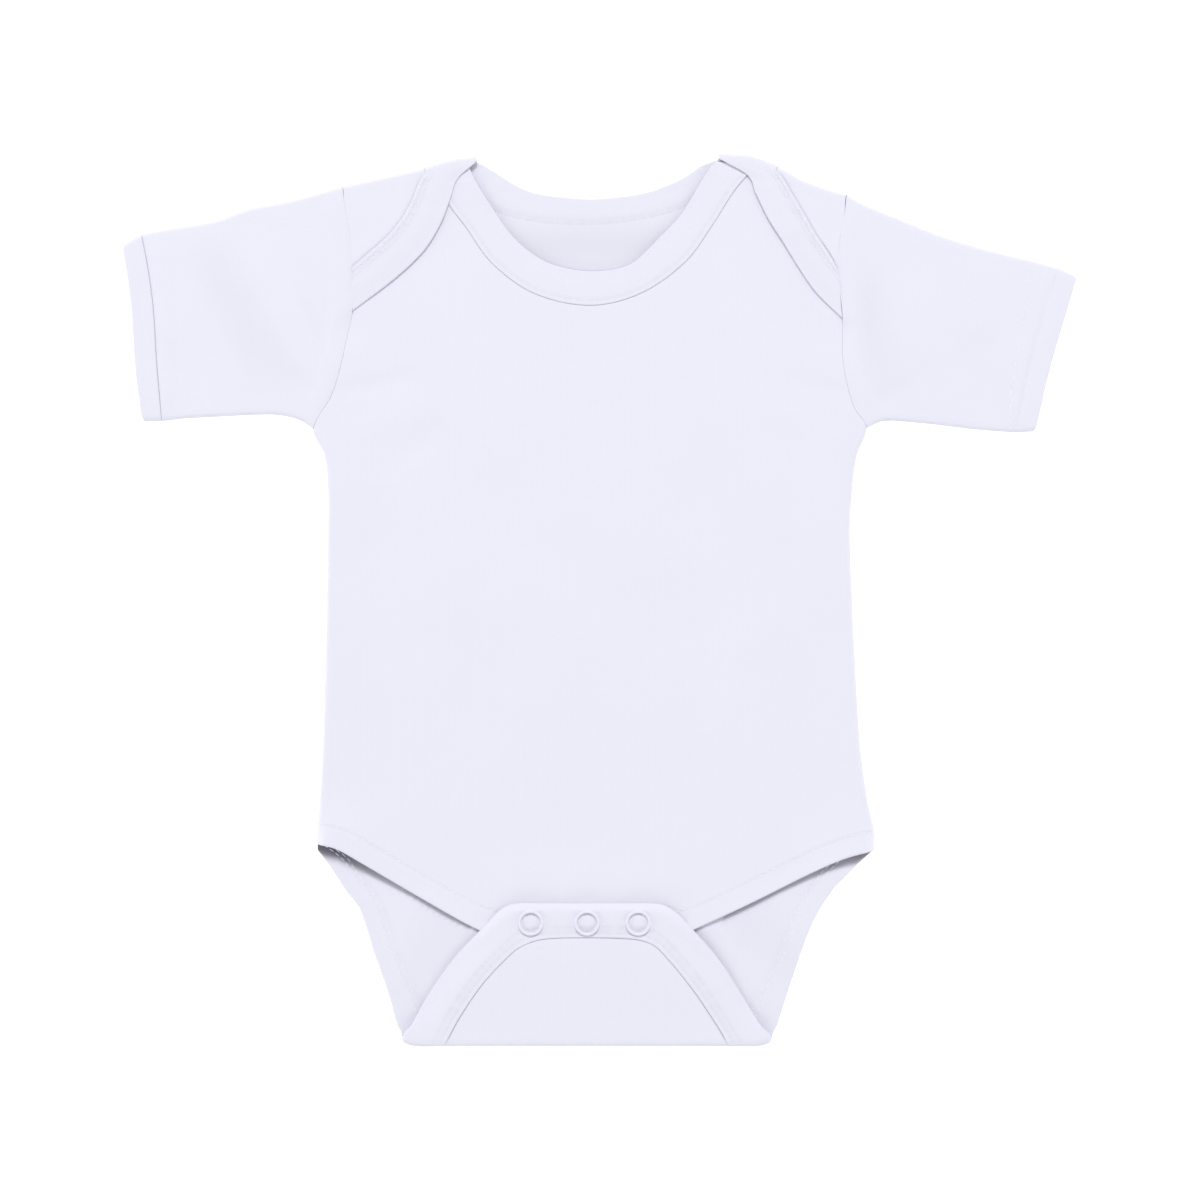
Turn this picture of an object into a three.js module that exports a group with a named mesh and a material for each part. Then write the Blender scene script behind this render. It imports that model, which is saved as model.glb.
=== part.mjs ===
import * as THREE from "three";

// A short-sleeved baby bodysuit lying flat on its back, seen from above with the neck at the top.
// Millimetres, +Z up, X across the body, Y towards the neck, the surface it lies on at Z 0.
// The front panel lies on the back panel. The back's shoulder laps come over on to the front, and its
// crotch flap folds forward over the front and closes with three ring snaps.

// Cloth
const JERSEY = 1.0;
const BINDING = 1.4;
const SEAM_GAP = 0.3;

// Heights of the middle of the jersey in each layer, and of the folds that join the layers
const LAYER_BACK = JERSEY / 2;
const LAYER_FRONT = 2.2;
const LAYER_LAP = 3.9;
const BINDING_RISE = (BINDING - JERSEY) / 2;
const FOLD_RADIUS = (LAYER_LAP - LAYER_BACK) / 2;
const FOLD_INSET = FOLD_RADIUS + JERSEY / 2;
const FLAP_TOP = 5.4;
const CROTCH_FOLD = -180.5;

// Soft roll of cloth along each side seam
const BACK_SEAM = 1.5;
const FRONT_SEAM = 2.1;
const SIDE_ROLL = 1.4;
const BACK_CURL = BACK_SEAM - LAYER_BACK;
const ROLL_TOP = FRONT_SEAM + SIDE_ROLL;
const ROLL_WIDTH = 26;
const ROLL_CREST = 3;
const HIP_LIFT = 1.5;

// Stretches over which one shape of the cloth passes into the next: low and high Y, or distance
const ARMPIT_RANGE = [58, 76];
const LAP_TIP_RANGE = [94, 111];
const SLEEVE_CAP_RANGE = [98, 118];
const HIP_RANGE = [-112, -70];
const HIP_REACH = [48, 78];
const HIP_EDGE = [1, 7];
const FLAP_RISE_RANGE = [-178.5, -140];
const CURL_RANGE = [-95, -89];
// The same as parts of a length
const SLEEVE_EASE = [0, 0.3];
const SLEEVE_FOLD_EASE = [0, 0.15];
const LAP_EVEN = [0, 0.5];
const FOLD_STEP = 0.05;

// Snaps
const SNAP_Y = -131.8;
const SNAP_X = [-28.3, -5.3, 15.6];
const SNAP_RADIUS = 5.2;
const SNAP_HOLE = 3.7;
const SNAP_RING_HEIGHT = 0.9;
const SNAP_ROUND = 0.3;
const STUD_RADIUS = 4.5;
const STUD_HEIGHT = 1.2;
const SNAP_SEGMENTS = 24;

// Armhole seams from the shoulder to the armpit
const ARMHOLE = [
  { left: -105.4, leftY: 169.5, right: 100.9, rightY: 166.2 },
  { left: -104.4, leftY: 162.0, right: 99.8, rightY: 157.0 },
  { left: -102.3, leftY: 150.0, right: 97.8, rightY: 146.0 },
  { left: -101.4, leftY: 136.3, right: 97.0, rightY: 135.5 },
  { left: -101.3, leftY: 118.5, right: 99.3, rightY: 115.0 },
  { left: -103.7, leftY: 107.0, right: 99.2, rightY: 101.0 },
  { left: -106.3, leftY: 95.0, right: 100.7, rightY: 90.0 },
  { left: -110.2, leftY: 83.0, right: 104.2, rightY: 78.5 },
  { left: -117.3, leftY: 69.9, right: 109.1, rightY: 70.3 },
];

// Side seams from below the armpit to the leg openings
const SIDE = [
  { left: -113.0, leftY: 59.5, right: 105.5, rightY: 60.0 },
  { left: -111.6, leftY: 46.0, right: 103.6, rightY: 47.0 },
  { left: -111.5, leftY: 28.9, right: 102.5, rightY: 28.9 },
  { left: -111.9, leftY: 1.4, right: 103.3, rightY: 1.4 },
  { left: -112.5, leftY: -25.6, right: 104.6, rightY: -25.6 },
  { left: -113.6, leftY: -58.4, right: 106.6, rightY: -58.4 },
  { left: -114.8, leftY: -80.6, right: 109.5, rightY: -80.6 },
  { left: -115.8, leftY: -97.0, right: 112.4, rightY: -95.0 },
];

// Upper corners of the front, under the laps
const FRONT_CORNER = { left: -104.7, leftY: 164.5, right: 100.3, rightY: 161.0 };

// Outline of each shoulder fold, from the armhole to the neck
const SHOULDER = {
  left: [
    { x: -105.4, y: 169.5 },
    { x: -84.5, y: 174.1 },
    { x: -72.6, y: 176.9 },
    { x: -61.5, y: 180.2 },
    { x: -50.4, y: 181.6 },
  ],
  right: [
    { x: 100.9, y: 166.2 },
    { x: 91.0, y: 169.1 },
    { x: 82.4, y: 172.4 },
    { x: 73.0, y: 177.7 },
    { x: 62.3, y: 181.8 },
    { x: 48.5, y: 182.8 },
  ],
};

// Part of each shoulder fold, counted from the armhole, at which the lap's binding begins
const LAP_SEAM = { left: 0.605, right: 0.545 };
const SHOULDER_LENGTH = 56;

// Sections along each sleeve, its top and bottom outline, from the armhole to the cuff's seam and edge
const SLEEVE = {
  left: [
    { topX: -105.4, topY: 169.5, bottomX: -117.3, bottomY: 69.9 },
    { topX: -112.8, topY: 167.5, bottomX: -122.0, bottomY: 73.2 },
    { topX: -125.9, topY: 163.8, bottomX: -131.5, bottomY: 75.6 },
    { topX: -144.3, topY: 160.1, bottomX: -144.3, bottomY: 75.6 },
    { topX: -157.4, topY: 155.4, bottomX: -157.0, bottomY: 74.9 },
    { topX: -170.6, topY: 153.1, bottomX: -170.0, bottomY: 74.2 },
    { topX: -187.6, topY: 149.8, bottomX: -179.2, bottomY: 73.2 },
    { topX: -195.6, topY: 145.6, bottomX: -187.2, bottomY: 72.9 },
  ],
  right: [
    { topX: 100.9, topY: 166.2, bottomX: 109.1, bottomY: 70.3 },
    { topX: 107.0, topY: 162.6, bottomX: 115.5, bottomY: 73.1 },
    { topX: 121.0, topY: 156.8, bottomX: 126.3, bottomY: 72.8 },
    { topX: 136.9, topY: 150.3, bottomX: 140.0, bottomY: 71.4 },
    { topX: 152.5, topY: 145.2, bottomX: 153.0, bottomY: 69.8 },
    { topX: 168.9, topY: 141.0, bottomX: 165.0, bottomY: 68.8 },
    { topX: 187.4, topY: 136.2, bottomX: 170.2, bottomY: 68.5 },
    { topX: 195.4, topY: 133.0, bottomX: 178.2, bottomY: 68.9 },
  ],
};

const SLEEVE_LENGTH = 95;

// Free edge of each cuff from the top of the sleeve to the underarm seam
const CUFF_EDGE = {
  left: [
    { x: -195.6, y: 145.6 },
    { x: -193.3, y: 132.2 },
    { x: -191.6, y: 118.0 },
    { x: -190.4, y: 98.6 },
    { x: -189.2, y: 86.7 },
    { x: -187.2, y: 72.9 },
  ],
  right: [
    { x: 195.4, y: 133.0 },
    { x: 189.5, y: 113.5 },
    { x: 185.0, y: 98.3 },
    { x: 181.8, y: 85.5 },
    { x: 178.2, y: 68.9 },
  ],
};

// Bindings are given by rungs: a point on the seam and the point across from it on the free edge
const NECK_FRONT = [
  { seamX: -68.5, seamY: 173.8, edgeX: -53.4, edgeY: 176.9 },
  { seamX: -61.9, seamY: 161.7, edgeX: -50.0, edgeY: 170.4 },
  { seamX: -55.4, seamY: 153.1, edgeX: -44.3, edgeY: 161.3 },
  { seamX: -44.1, seamY: 137.6, edgeX: -34.4, edgeY: 147.8 },
  { seamX: -26.7, seamY: 125.3, edgeX: -21.3, edgeY: 138.4 },
  { seamX: -4.1, seamY: 120.5, edgeX: -4.1, edgeY: 134.9 },
  { seamX: 16.4, seamY: 125.3, edgeX: 11.9, edgeY: 137.6 },
  { seamX: 34.9, seamY: 138.2, edgeX: 25.0, edgeY: 149.4 },
  { seamX: 45.9, seamY: 153.1, edgeX: 33.6, edgeY: 158.9 },
  { seamX: 55.4, seamY: 167.9, edgeX: 42.6, edgeY: 173.6 },
  { seamX: 63.5, seamY: 177.2, edgeX: 46.8, edgeY: 179.4 },
];

const NECK_BACK = [
  { seamX: -62.0, seamY: 169.3, edgeX: -46.5, edgeY: 177.6 },
  { seamX: -52.5, seamY: 163.0, edgeX: -40.2, edgeY: 173.6 },
  { seamX: -43.0, seamY: 158.6, edgeX: -33.8, edgeY: 169.7 },
  { seamX: -33.5, seamY: 155.8, edgeX: -27.5, edgeY: 167.1 },
  { seamX: -21.7, seamY: 154.0, edgeX: -19.0, edgeY: 165.6 },
  { seamX: -4.0, seamY: 153.4, edgeX: -3.8, edgeY: 164.4 },
  { seamX: 12.5, seamY: 154.8, edgeX: 11.0, edgeY: 165.7 },
  { seamX: 26.0, seamY: 157.6, edgeX: 20.5, edgeY: 167.6 },
  { seamX: 36.5, seamY: 161.3, edgeX: 28.5, edgeY: 170.4 },
  { seamX: 46.0, seamY: 166.5, edgeX: 34.8, edgeY: 173.5 },
  { seamX: 56.0, seamY: 171.8, edgeX: 41.0, edgeY: 177.8 },
];

const LAP = {
  left: [
    { seamX: -74.3, seamY: 170.5, edgeX: -58.0, edgeY: 172.5 },
    { seamX: -76.5, seamY: 165.0, edgeX: -61.2, edgeY: 164.0 },
    { seamX: -79.5, seamY: 159.0, edgeX: -64.6, edgeY: 155.0 },
    { seamX: -83.5, seamY: 153.0, edgeX: -70.0, edgeY: 145.5 },
    { seamX: -88.6, seamY: 147.4, edgeX: -76.5, edgeY: 138.0 },
    { seamX: -95.2, seamY: 141.6, edgeX: -86.5, edgeY: 129.3 },
    { seamX: -101.3, seamY: 136.3, edgeX: -101.2, edgeY: 118.2 },
  ],
  right: [
    { seamX: 75.3, seamY: 172.0, edgeX: 60.0, edgeY: 174.0 },
    { seamX: 78.8, seamY: 166.0, edgeX: 63.5, edgeY: 166.5 },
    { seamX: 83.6, seamY: 158.1, edgeX: 68.9, edgeY: 155.6 },
    { seamX: 87.5, seamY: 151.0, edgeX: 74.5, edgeY: 146.8 },
    { seamX: 92.0, seamY: 144.3, edgeX: 81.5, edgeY: 135.5 },
    { seamX: 94.8, seamY: 140.0, edgeX: 88.5, edgeY: 125.5 },
    { seamX: 97.0, seamY: 135.5, edgeX: 99.2, edgeY: 115.0 },
  ],
};

const LEG_FRONT = [
  { seamX: -115.6, seamY: -90.3, edgeX: -115.8, edgeY: -99.8 },
  { seamX: -103.5, seamY: -93.5, edgeX: -107.4, edgeY: -101.9 },
  { seamX: -91.9, seamY: -100.0, edgeX: -96.8, edgeY: -108.0 },
  { seamX: -69.5, seamY: -113.3, edgeX: -74.0, edgeY: -121.6 },
  { seamX: -46.5, seamY: -125.0, edgeX: -50.4, edgeY: -134.7 },
  { seamX: -33.0, seamY: -127.5, edgeX: -36.5, edgeY: -139.8 },
  { seamX: -5.0, seamY: -128.2, edgeX: -5.0, edgeY: -141.5 },
  { seamX: 24.0, seamY: -127.6, edgeX: 26.5, edgeY: -139.8 },
  { seamX: 36.0, seamY: -125.6, edgeX: 38.5, edgeY: -134.9 },
  { seamX: 59.0, seamY: -115.2, edgeX: 63.0, edgeY: -123.5 },
  { seamX: 84.0, seamY: -102.9, edgeX: 88.2, edgeY: -110.9 },
  { seamX: 97.0, seamY: -97.3, edgeX: 100.5, edgeY: -105.6 },
  { seamX: 112.3, seamY: -93.0, edgeX: 112.0, edgeY: -102.4 },
];

// Seat edges from the hip down to the crotch fold
const SEAT = {
  left: [
    { seamX: -115.8, seamY: -97.0, edgeX: -115.8, edgeY: -105.5 },
    { seamX: -103.1, seamY: -104.8, edgeX: -110.7, edgeY: -110.5 },
    { seamX: -96.9, seamY: -113.0, edgeX: -104.5, edgeY: -118.7 },
    { seamX: -89.5, seamY: -123.0, edgeX: -98.4, edgeY: -126.9 },
    { seamX: -83.7, seamY: -140.3, edgeX: -93.1, edgeY: -143.3 },
    { seamX: -76.3, seamY: -157.0, edgeX: -87.3, edgeY: -159.7 },
    { seamX: -64.5, seamY: CROTCH_FOLD, edgeX: -81.4, edgeY: CROTCH_FOLD },
  ],
  right: [
    { seamX: 112.4, seamY: -95.0, edgeX: 112.4, edgeY: -103.5 },
    { seamX: 100.6, seamY: -100.3, edgeX: 106.6, edgeY: -107.6 },
    { seamX: 94.3, seamY: -106.3, edgeX: 101.0, edgeY: -113.0 },
    { seamX: 88.1, seamY: -112.7, edgeX: 95.5, edgeY: -118.7 },
    { seamX: 78.8, seamY: -127.9, edgeX: 87.3, edgeY: -132.2 },
    { seamX: 69.7, seamY: -151.5, edgeX: 79.1, edgeY: -154.4 },
    { seamX: 53.0, seamY: CROTCH_FOLD, edgeX: 70.8, edgeY: CROTCH_FOLD },
  ],
};

// Round the crotch flap from the left end of the fold to the right end
const FLAP = [
  { seamX: -62.6, seamY: CROTCH_FOLD, edgeX: -80.4, edgeY: CROTCH_FOLD },
  { seamX: -57.4, seamY: -170.8, edgeX: -71.5, edgeY: -163.5 },
  { seamX: -47.8, seamY: -156.8, edgeX: -59.5, edgeY: -146.2 },
  { seamX: -35.7, seamY: -144.1, edgeX: -46.3, edgeY: -132.3 },
  { seamX: -30.5, seamY: -140.9, edgeX: -40.5, edgeY: -126.4 },
  { seamX: -25.0, seamY: -139.0, edgeX: -34.5, edgeY: -124.1 },
  { seamX: -18.0, seamY: -138.2, edgeX: -22.0, edgeY: -124.0 },
  { seamX: -5.7, seamY: -138.0, edgeX: -5.7, edgeY: -124.0 },
  { seamX: 8.0, seamY: -138.2, edgeX: 11.0, edgeY: -124.0 },
  { seamX: 15.6, seamY: -138.9, edgeX: 24.5, edgeY: -124.3 },
  { seamX: 20.5, seamY: -140.4, edgeX: 30.5, edgeY: -127.2 },
  { seamX: 25.0, seamY: -143.7, edgeX: 36.0, edgeY: -132.6 },
  { seamX: 37.3, seamY: -158.5, edgeX: 49.3, edgeY: -148.0 },
  { seamX: 47.8, seamY: -174.0, edgeX: 62.5, edgeY: -169.0 },
  { seamX: 51.6, seamY: CROTCH_FOLD, edgeX: 69.4, edgeY: CROTCH_FOLD },
];
const FLAP_CORNER_LEFT = 4;
const FLAP_CORNER_RIGHT = 10;

// Largest soft troughs and ridges: middle, direction in degrees, size along and across, height
const FRONT_FOLDS = [
  { x: -86.0, y: 74.0, turn: 20, along: 34, across: 7, height: 0.7 },
  { x: 84.0, y: 72.0, turn: -24, along: 30, across: 7, height: 0.6 },
  { x: -48.0, y: -70.0, turn: 58, along: 60, across: 16, height: 0.5 },
  { x: 52.0, y: -62.0, turn: -60, along: 55, across: 15, height: 0.5 },
];
const SLEEVE_FOLDS = {
  left: [
    { x: -145.6, y: 112.0, turn: -62, along: 44, across: 8, height: -0.9 },
    { x: -131.0, y: 119.0, turn: -62, along: 36, across: 7, height: 0.6 },
    { x: -160.0, y: 108.0, turn: -70, along: 36, across: 8, height: 0.5 },
  ],
  right: [
    { x: 118.0, y: 111.0, turn: -78, along: 42, across: 8, height: -0.8 },
    { x: 134.0, y: 106.0, turn: -72, along: 40, across: 8, height: 0.6 },
  ],
};
const SLEEVE_PILLOW = 0.5;

// Grids
const FRONT_WIDTH = 230;
const FRONT_COLUMNS = [0, 0.8, 1.6, 2.4, 5, 10, 17, 26, 36];
const FRONT_MIDDLE = 14;
const BACK_COLUMNS = [0, 0.55, 1.05, 1.57, 9, 17, 25, 34];
const BACK_CURLED = 9;
const BACK_CORNER = 0.17;
const BACK_MIDDLE = 12;
const FLAP_ROWS = 5;
const ROLL_STEPS = 5;
const SLEEVE_ROWS = 8;
const QUARTER_STEPS = 3;

const COTTON = { color: 0xecebf6, roughness: 0.92, metalness: 0 };
const RIB = { color: 0xeeedf8, roughness: 0.95, metalness: 0 };
const SNAP_ENAMEL = { color: 0xf1f1f5, roughness: 0.35, metalness: 0.1 };

const mix = (a, b, t) => a + (b - a) * t;
const blend = (p, q, t) => p.map((value, i) => mix(value, q[i], t));
const steps = (count) => Array.from({ length: count + 1 }, (_, i) => i / count);

function smooth([from, to], value) {
  return THREE.MathUtils.smoothstep(value, from, to);
}

// A smooth line through rows of numbers, asked for by a part of its length from 0 to 1
function lineThrough(rows) {
  const at = [0];
  for (let i = 1; i < rows.length; i += 1) {
    const span = Math.hypot(rows[i][0] - rows[i - 1][0], rows[i][1] - rows[i - 1][1]);
    at.push(at[i - 1] + span);
  }
  const slope = (i, k) => {
    const before = Math.max(i - 1, 0);
    const after = Math.min(i + 1, rows.length - 1);
    return (rows[after][k] - rows[before][k]) / (at[after] - at[before]);
  };
  return (part) => {
    const place = THREE.MathUtils.clamp(part, 0, 1) * at[at.length - 1];
    const found = at.findIndex((value) => value > place);
    const i = (found < 0 ? at.length - 1 : found) - 1;
    const span = at[i + 1] - at[i];
    const t = (place - at[i]) / span;
    const bend = t * t * (3 - 2 * t);
    return rows[i].map((value, k) => {
      const ease = (t - 2 * t * t + t * t * t) * slope(i, k) + (t * t * t - t * t) * slope(i + 1, k);
      return mix(value, rows[i + 1][k], bend) + span * ease;
    });
  };
}

const points = (rows) => rows.map((row) => [row.x, row.y]);
const rungs = (rows) => rows.map((row) => [row.seamX, row.seamY, row.edgeX, row.edgeY]);
const seams = (rows) => rows.map((row) => [row.seamX, row.seamY]);
const rowOf = (rows) => (part) => rows[Math.round(part * (rows.length - 1))];
const stretch = (line, from, to) => (part) => line(mix(from, to, part));

// Part of the whole length of a line at one of its rows
function partAt(rows, row) {
  const spans = rows.slice(1).map(([x, y], i) => Math.hypot(x - rows[i][0], y - rows[i][1]));
  const length = (list) => list.reduce((sum, span) => sum + span, 0);
  return length(spans.slice(0, row)) / length(spans);
}

// Three lines end to end, the middle one from one part of the whole to another
function joined(first, middle, last, from, to) {
  return (part) => {
    if (part <= from) {
      return first(part / from);
    }
    if (part >= to) {
      return last((part - to) / (1 - to));
    }
    return middle((part - from) / (to - from));
  };
}

// A patch between four lines: near and far run across it, left and right run up it
function patch(near, far, left, right) {
  const corners = [near(0), near(1), far(0), far(1)];
  return (u, v) => {
    const across = blend(near(u), far(u), v);
    const up = blend(left(v), right(v), u);
    const flat = blend(blend(corners[0], corners[1], u), blend(corners[2], corners[3], u), v);
    return across.map((value, i) => value + up[i] - flat[i]);
  };
}

function softFolds(rows, x, y) {
  let height = 0;
  for (const row of rows) {
    const turn = THREE.MathUtils.degToRad(row.turn);
    const along = (x - row.x) * Math.cos(turn) + (y - row.y) * Math.sin(turn);
    const across = (y - row.y) * Math.cos(turn) - (x - row.x) * Math.sin(turn);
    height += row.height * Math.exp(-((across / row.across) ** 2) - (along / row.along) ** 4 * 4);
  }
  return height;
}

// Cloth is gathered here as the middle of its thickness, then given its two faces and its edges
class Cloth {
  constructor() {
    this.places = [];
    this.found = new Map();
    this.faces = [];
  }

  add(place) {
    const key = place.slice(0, 3).map((value) => Math.round(value * 1000)).join(" ");
    if (!this.found.has(key)) {
      this.found.set(key, this.places.length);
      this.places.push(place);
    }
    return this.found.get(key);
  }

  face(a, b, c) {
    if (a !== b && b !== c && c !== a) {
      this.faces.push([a, b, c]);
    }
  }

  // Rows of places with as many in each row
  grid(rows) {
    const known = rows.map((row) => row.map((place) => this.add(place)));
    for (let j = 1; j < known.length; j += 1) {
      for (let i = 1; i < known[j].length; i += 1) {
        const [a, b] = [known[j - 1][i - 1], known[j - 1][i]];
        const [d, c] = [known[j][i - 1], known[j][i]];
        this.face(a, b, c);
        this.face(a, c, d);
      }
    }
  }

  // Rows that each hold one place less than the row before
  triangle(rows) {
    const known = rows.map((row) => row.map((place) => this.add(place)));
    for (let j = 1; j < known.length; j += 1) {
      for (let i = 0; i < known[j].length; i += 1) {
        this.face(known[j - 1][i], known[j - 1][i + 1], known[j][i]);
        if (i + 1 < known[j].length) {
          this.face(known[j - 1][i + 1], known[j][i + 1], known[j][i]);
        }
      }
    }
  }

  // Each place holds x, y, z and its own thickness
  solid() {
    const count = this.places.length;
    const normals = this.places.map(() => new THREE.Vector3());
    const where = this.places.map((place) => new THREE.Vector3(place[0], place[1], place[2]));
    for (const [a, b, c] of this.faces) {
      const one = where[b].clone().sub(where[a]);
      const normal = one.cross(where[c].clone().sub(where[a]));
      [a, b, c].forEach((corner) => normals[corner].add(normal));
    }
    const position = [];
    for (const side of [0.5, -0.5]) {
      where.forEach((place, i) => {
        const moved = normals[i].clone().normalize().multiplyScalar(side * this.places[i][3]);
        position.push(...moved.add(place).toArray());
      });
    }
    const index = [];
    const edges = new Set(this.faces.flatMap(([a, b, c]) => [`${a} ${b}`, `${b} ${c}`, `${c} ${a}`]));
    for (const [a, b, c] of this.faces) {
      index.push(a, b, c, c + count, b + count, a + count);
      for (const [from, to] of [[a, b], [b, c], [c, a]]) {
        if (!edges.has(`${to} ${from}`)) {
          index.push(to, from, from + count, to, from + count, to + count);
        }
      }
    }
    const geometry = new THREE.BufferGeometry();
    geometry.setAttribute("position", new THREE.Float32BufferAttribute(position, 3));
    geometry.setIndex(index);
    return geometry;
  }
}

const SIDES = ["left", "right"];
const outlineOf = (rows, side) => rows.map((row) => [row[side], row[`${side}Y`]]);

// Edge of the body on one side, from the hip up to the shoulder
const bodyEdge = (side) => outlineOf([...ARMHOLE, ...SIDE].reverse(), side);

// Middle line of a shoulder fold, and the way out across it
function shoulderFold(side) {
  const outline = lineThrough(points(SHOULDER[side]));
  const sign = side === "left" ? 1 : -1;
  const outward = (part) => {
    const [a, b] = [outline(part - FOLD_STEP), outline(part + FOLD_STEP)];
    const length = Math.hypot(b[0] - a[0], b[1] - a[1]);
    return [(-sign * (b[1] - a[1])) / length, (sign * (b[0] - a[0])) / length];
  };
  const axis = (part) => {
    const out = outward(part);
    return outline(part).map((value, i) => value - out[i] * FOLD_INSET);
  };
  return { axis, outward };
}

const FOLD = { left: shoulderFold("left"), right: shoulderFold("right") };

// Places round a shoulder fold, from the back layer at 0 up to the lap at 1
function overShoulder(side, part, turn, thickness) {
  const [x, y] = FOLD[side].axis(part);
  const out = FOLD[side].outward(part);
  const reach = FOLD_RADIUS * Math.sin(turn * Math.PI);
  const z = thickness / 2 + FOLD_RADIUS * (1 - Math.cos(turn * Math.PI));
  return [x + out[0] * reach, y + out[1] * reach, z, thickness];
}

// 1 beside the side seams, 0 beside the armholes
const sideWeight = (y) => 1 - smooth(ARMPIT_RANGE, y);

// How far in from the outline, and how high, the front is at a distance along it from the side seam
function frontRoll(distance) {
  const turn = Math.min(distance / SIDE_ROLL, Math.PI / 2);
  const along = Math.max(distance - (SIDE_ROLL * Math.PI) / 2, 0);
  const inward = JERSEY / 2 + SIDE_ROLL * (1 - Math.cos(turn)) + along;
  return { inward, height: FRONT_SEAM + SIDE_ROLL * Math.sin(turn) };
}

function frontHeight(distance, x, y) {
  const rolled = frontRoll(distance).height;
  const side = mix(rolled, LAYER_FRONT, smooth([ROLL_CREST, ROLL_WIDTH], distance));
  const seam = mix(ROLL_TOP, LAYER_FRONT, smooth(LAP_TIP_RANGE, y));
  const armhole = mix(seam, LAYER_FRONT, smooth([0, ROLL_WIDTH], distance));
  const low = 1 - smooth(HIP_RANGE, y);
  const hip = low * smooth(HIP_REACH, Math.abs(x)) * smooth(HIP_EDGE, distance);
  return mix(armhole, side, sideWeight(y)) + HIP_LIFT * hip + softFolds(FRONT_FOLDS, x, y);
}

// Columns across the front, each with its distance from the nearer side and its part of the width
function frontColumns(y) {
  const weight = sideWeight(y);
  const corner = FRONT_COLUMNS[FRONT_COLUMNS.length - 1];
  const near = FRONT_COLUMNS.map((distance) => {
    const inward = mix(distance, frontRoll(distance).inward, weight);
    return { distance, part: (distance < corner ? inward : corner) / FRONT_WIDTH };
  });
  const from = corner / FRONT_WIDTH;
  const middle = steps(FRONT_MIDDLE).slice(1, -1).map((part) => {
    return { distance: ROLL_WIDTH, part: mix(from, 1 - from, part) };
  });
  const far = near.map(({ distance, part }) => ({ distance, part: 1 - part })).reverse();
  return [...near, ...middle, ...far];
}

function frontEdge(side) {
  const legs = seams(LEG_FRONT);
  const hip = side === "left" ? legs[0] : legs[legs.length - 1];
  return [hip, ...bodyEdge(side).slice(1, -1), ...outlineOf([FRONT_CORNER], side)];
}

function frontPanel() {
  const corner = FRONT_COLUMNS[FRONT_COLUMNS.length - 1] / FRONT_WIDTH;
  const [left, right] = SIDES.map((side) => rowOf(frontEdge(side)));
  const scoop = lineThrough(seams(NECK_FRONT));
  const leftShoulder = (part) => blend(left(1), scoop(0), part);
  const rightShoulder = (part) => blend(scoop(1), right(1), part);
  const top = joined(leftShoulder, scoop, rightShoulder, corner, 1 - corner);
  const panel = patch(lineThrough(seams(LEG_FRONT)), top, left, right);
  const rows = steps(ARMHOLE.length + SIDE.length - 1);
  const cloth = new Cloth();
  cloth.grid(rows.map((v) => frontColumns(left(v)[1]).map(({ distance, part }) => {
    const [x, y] = panel(part, v);
    return [x, y, frontHeight(distance, x, y), JERSEY];
  })));
  return cloth.solid();
}

// Across a binding: part of its width, and part of its thickness there
const BINDING_SECTION = [
  { part: 0, thickness: 0.6 },
  { part: 0.16, thickness: 1 },
  { part: 0.84, thickness: 1 },
  { part: 1, thickness: 0.6 },
];

// One rung of a binding, a seam's gap away from the panel, at a height that a function gives
function bindingRung(rung, height) {
  const [seamX, seamY, edgeX, edgeY] = rung;
  const gap = SEAM_GAP / Math.hypot(edgeX - seamX, edgeY - seamY);
  return BINDING_SECTION.map(({ part, thickness }) => {
    const [x, y] = blend([seamX, seamY], [edgeX, edgeY], mix(gap, 1, part));
    return [x, y, height(x, y), BINDING * thickness];
  });
}

// Rungs at some parts of a line and halfway between, where the seam keeps to the panel's straight edge
function rungsAlong(line, parts) {
  const known = parts.map(line);
  return known.flatMap((rung, i) => {
    if (i === 0) {
      return [rung];
    }
    const halfway = line((parts[i - 1] + parts[i]) / 2);
    return [[...blend(known[i - 1], rung, 0.5).slice(0, 2), ...halfway.slice(2)], rung];
  });
}

function neckBindingFront() {
  const line = lineThrough(rungs(NECK_FRONT));
  const height = () => LAYER_FRONT + BINDING_RISE;
  const cloth = new Cloth();
  cloth.grid(rungsAlong(line, steps(FRONT_MIDDLE)).map((rung) => bindingRung(rung, height)));
  return cloth.solid();
}

function legBindingFront() {
  const line = lineThrough(rungs(LEG_FRONT));
  const cloth = new Cloth();
  cloth.grid(frontColumns(LEG_FRONT[0].seamY).map(({ distance, part }) => {
    return bindingRung(line(part), (x, y) => frontHeight(distance, x, y) + BINDING_RISE);
  }));
  return cloth.solid();
}

const flapHeight = (y) => mix(LAYER_LAP, FLAP_TOP, smooth(FLAP_RISE_RANGE, y));

// One rung of a binding as it turns round a fold, from its rung on one layer to that on the other
function crotchRung(below, above, turn) {
  const rung = bindingRung(blend(below, above, turn), () => 0);
  const reach = FOLD_RADIUS * Math.sin(turn * Math.PI);
  const z = BINDING / 2 + FOLD_RADIUS * (1 - Math.cos(turn * Math.PI));
  return rung.map(([x, y, , thickness]) => [x, y - reach, z, thickness]);
}

// Rungs round the flap, at the rows of its sides and the columns of its top
function flapRungs() {
  const rows = rungs(FLAP);
  const line = lineThrough(rows);
  const [from, to] = [partAt(rows, FLAP_CORNER_LEFT), partAt(rows, FLAP_CORNER_RIGHT)];
  const top = backColumns().map(({ part }) => stretch(line, from, to)(part));
  return [
    ...rungsAlong(stretch(line, 0, from), steps(FLAP_ROWS)),
    ...top.slice(1, -1),
    ...rungsAlong(stretch(line, to, 1), steps(FLAP_ROWS)),
  ];
}

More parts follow.
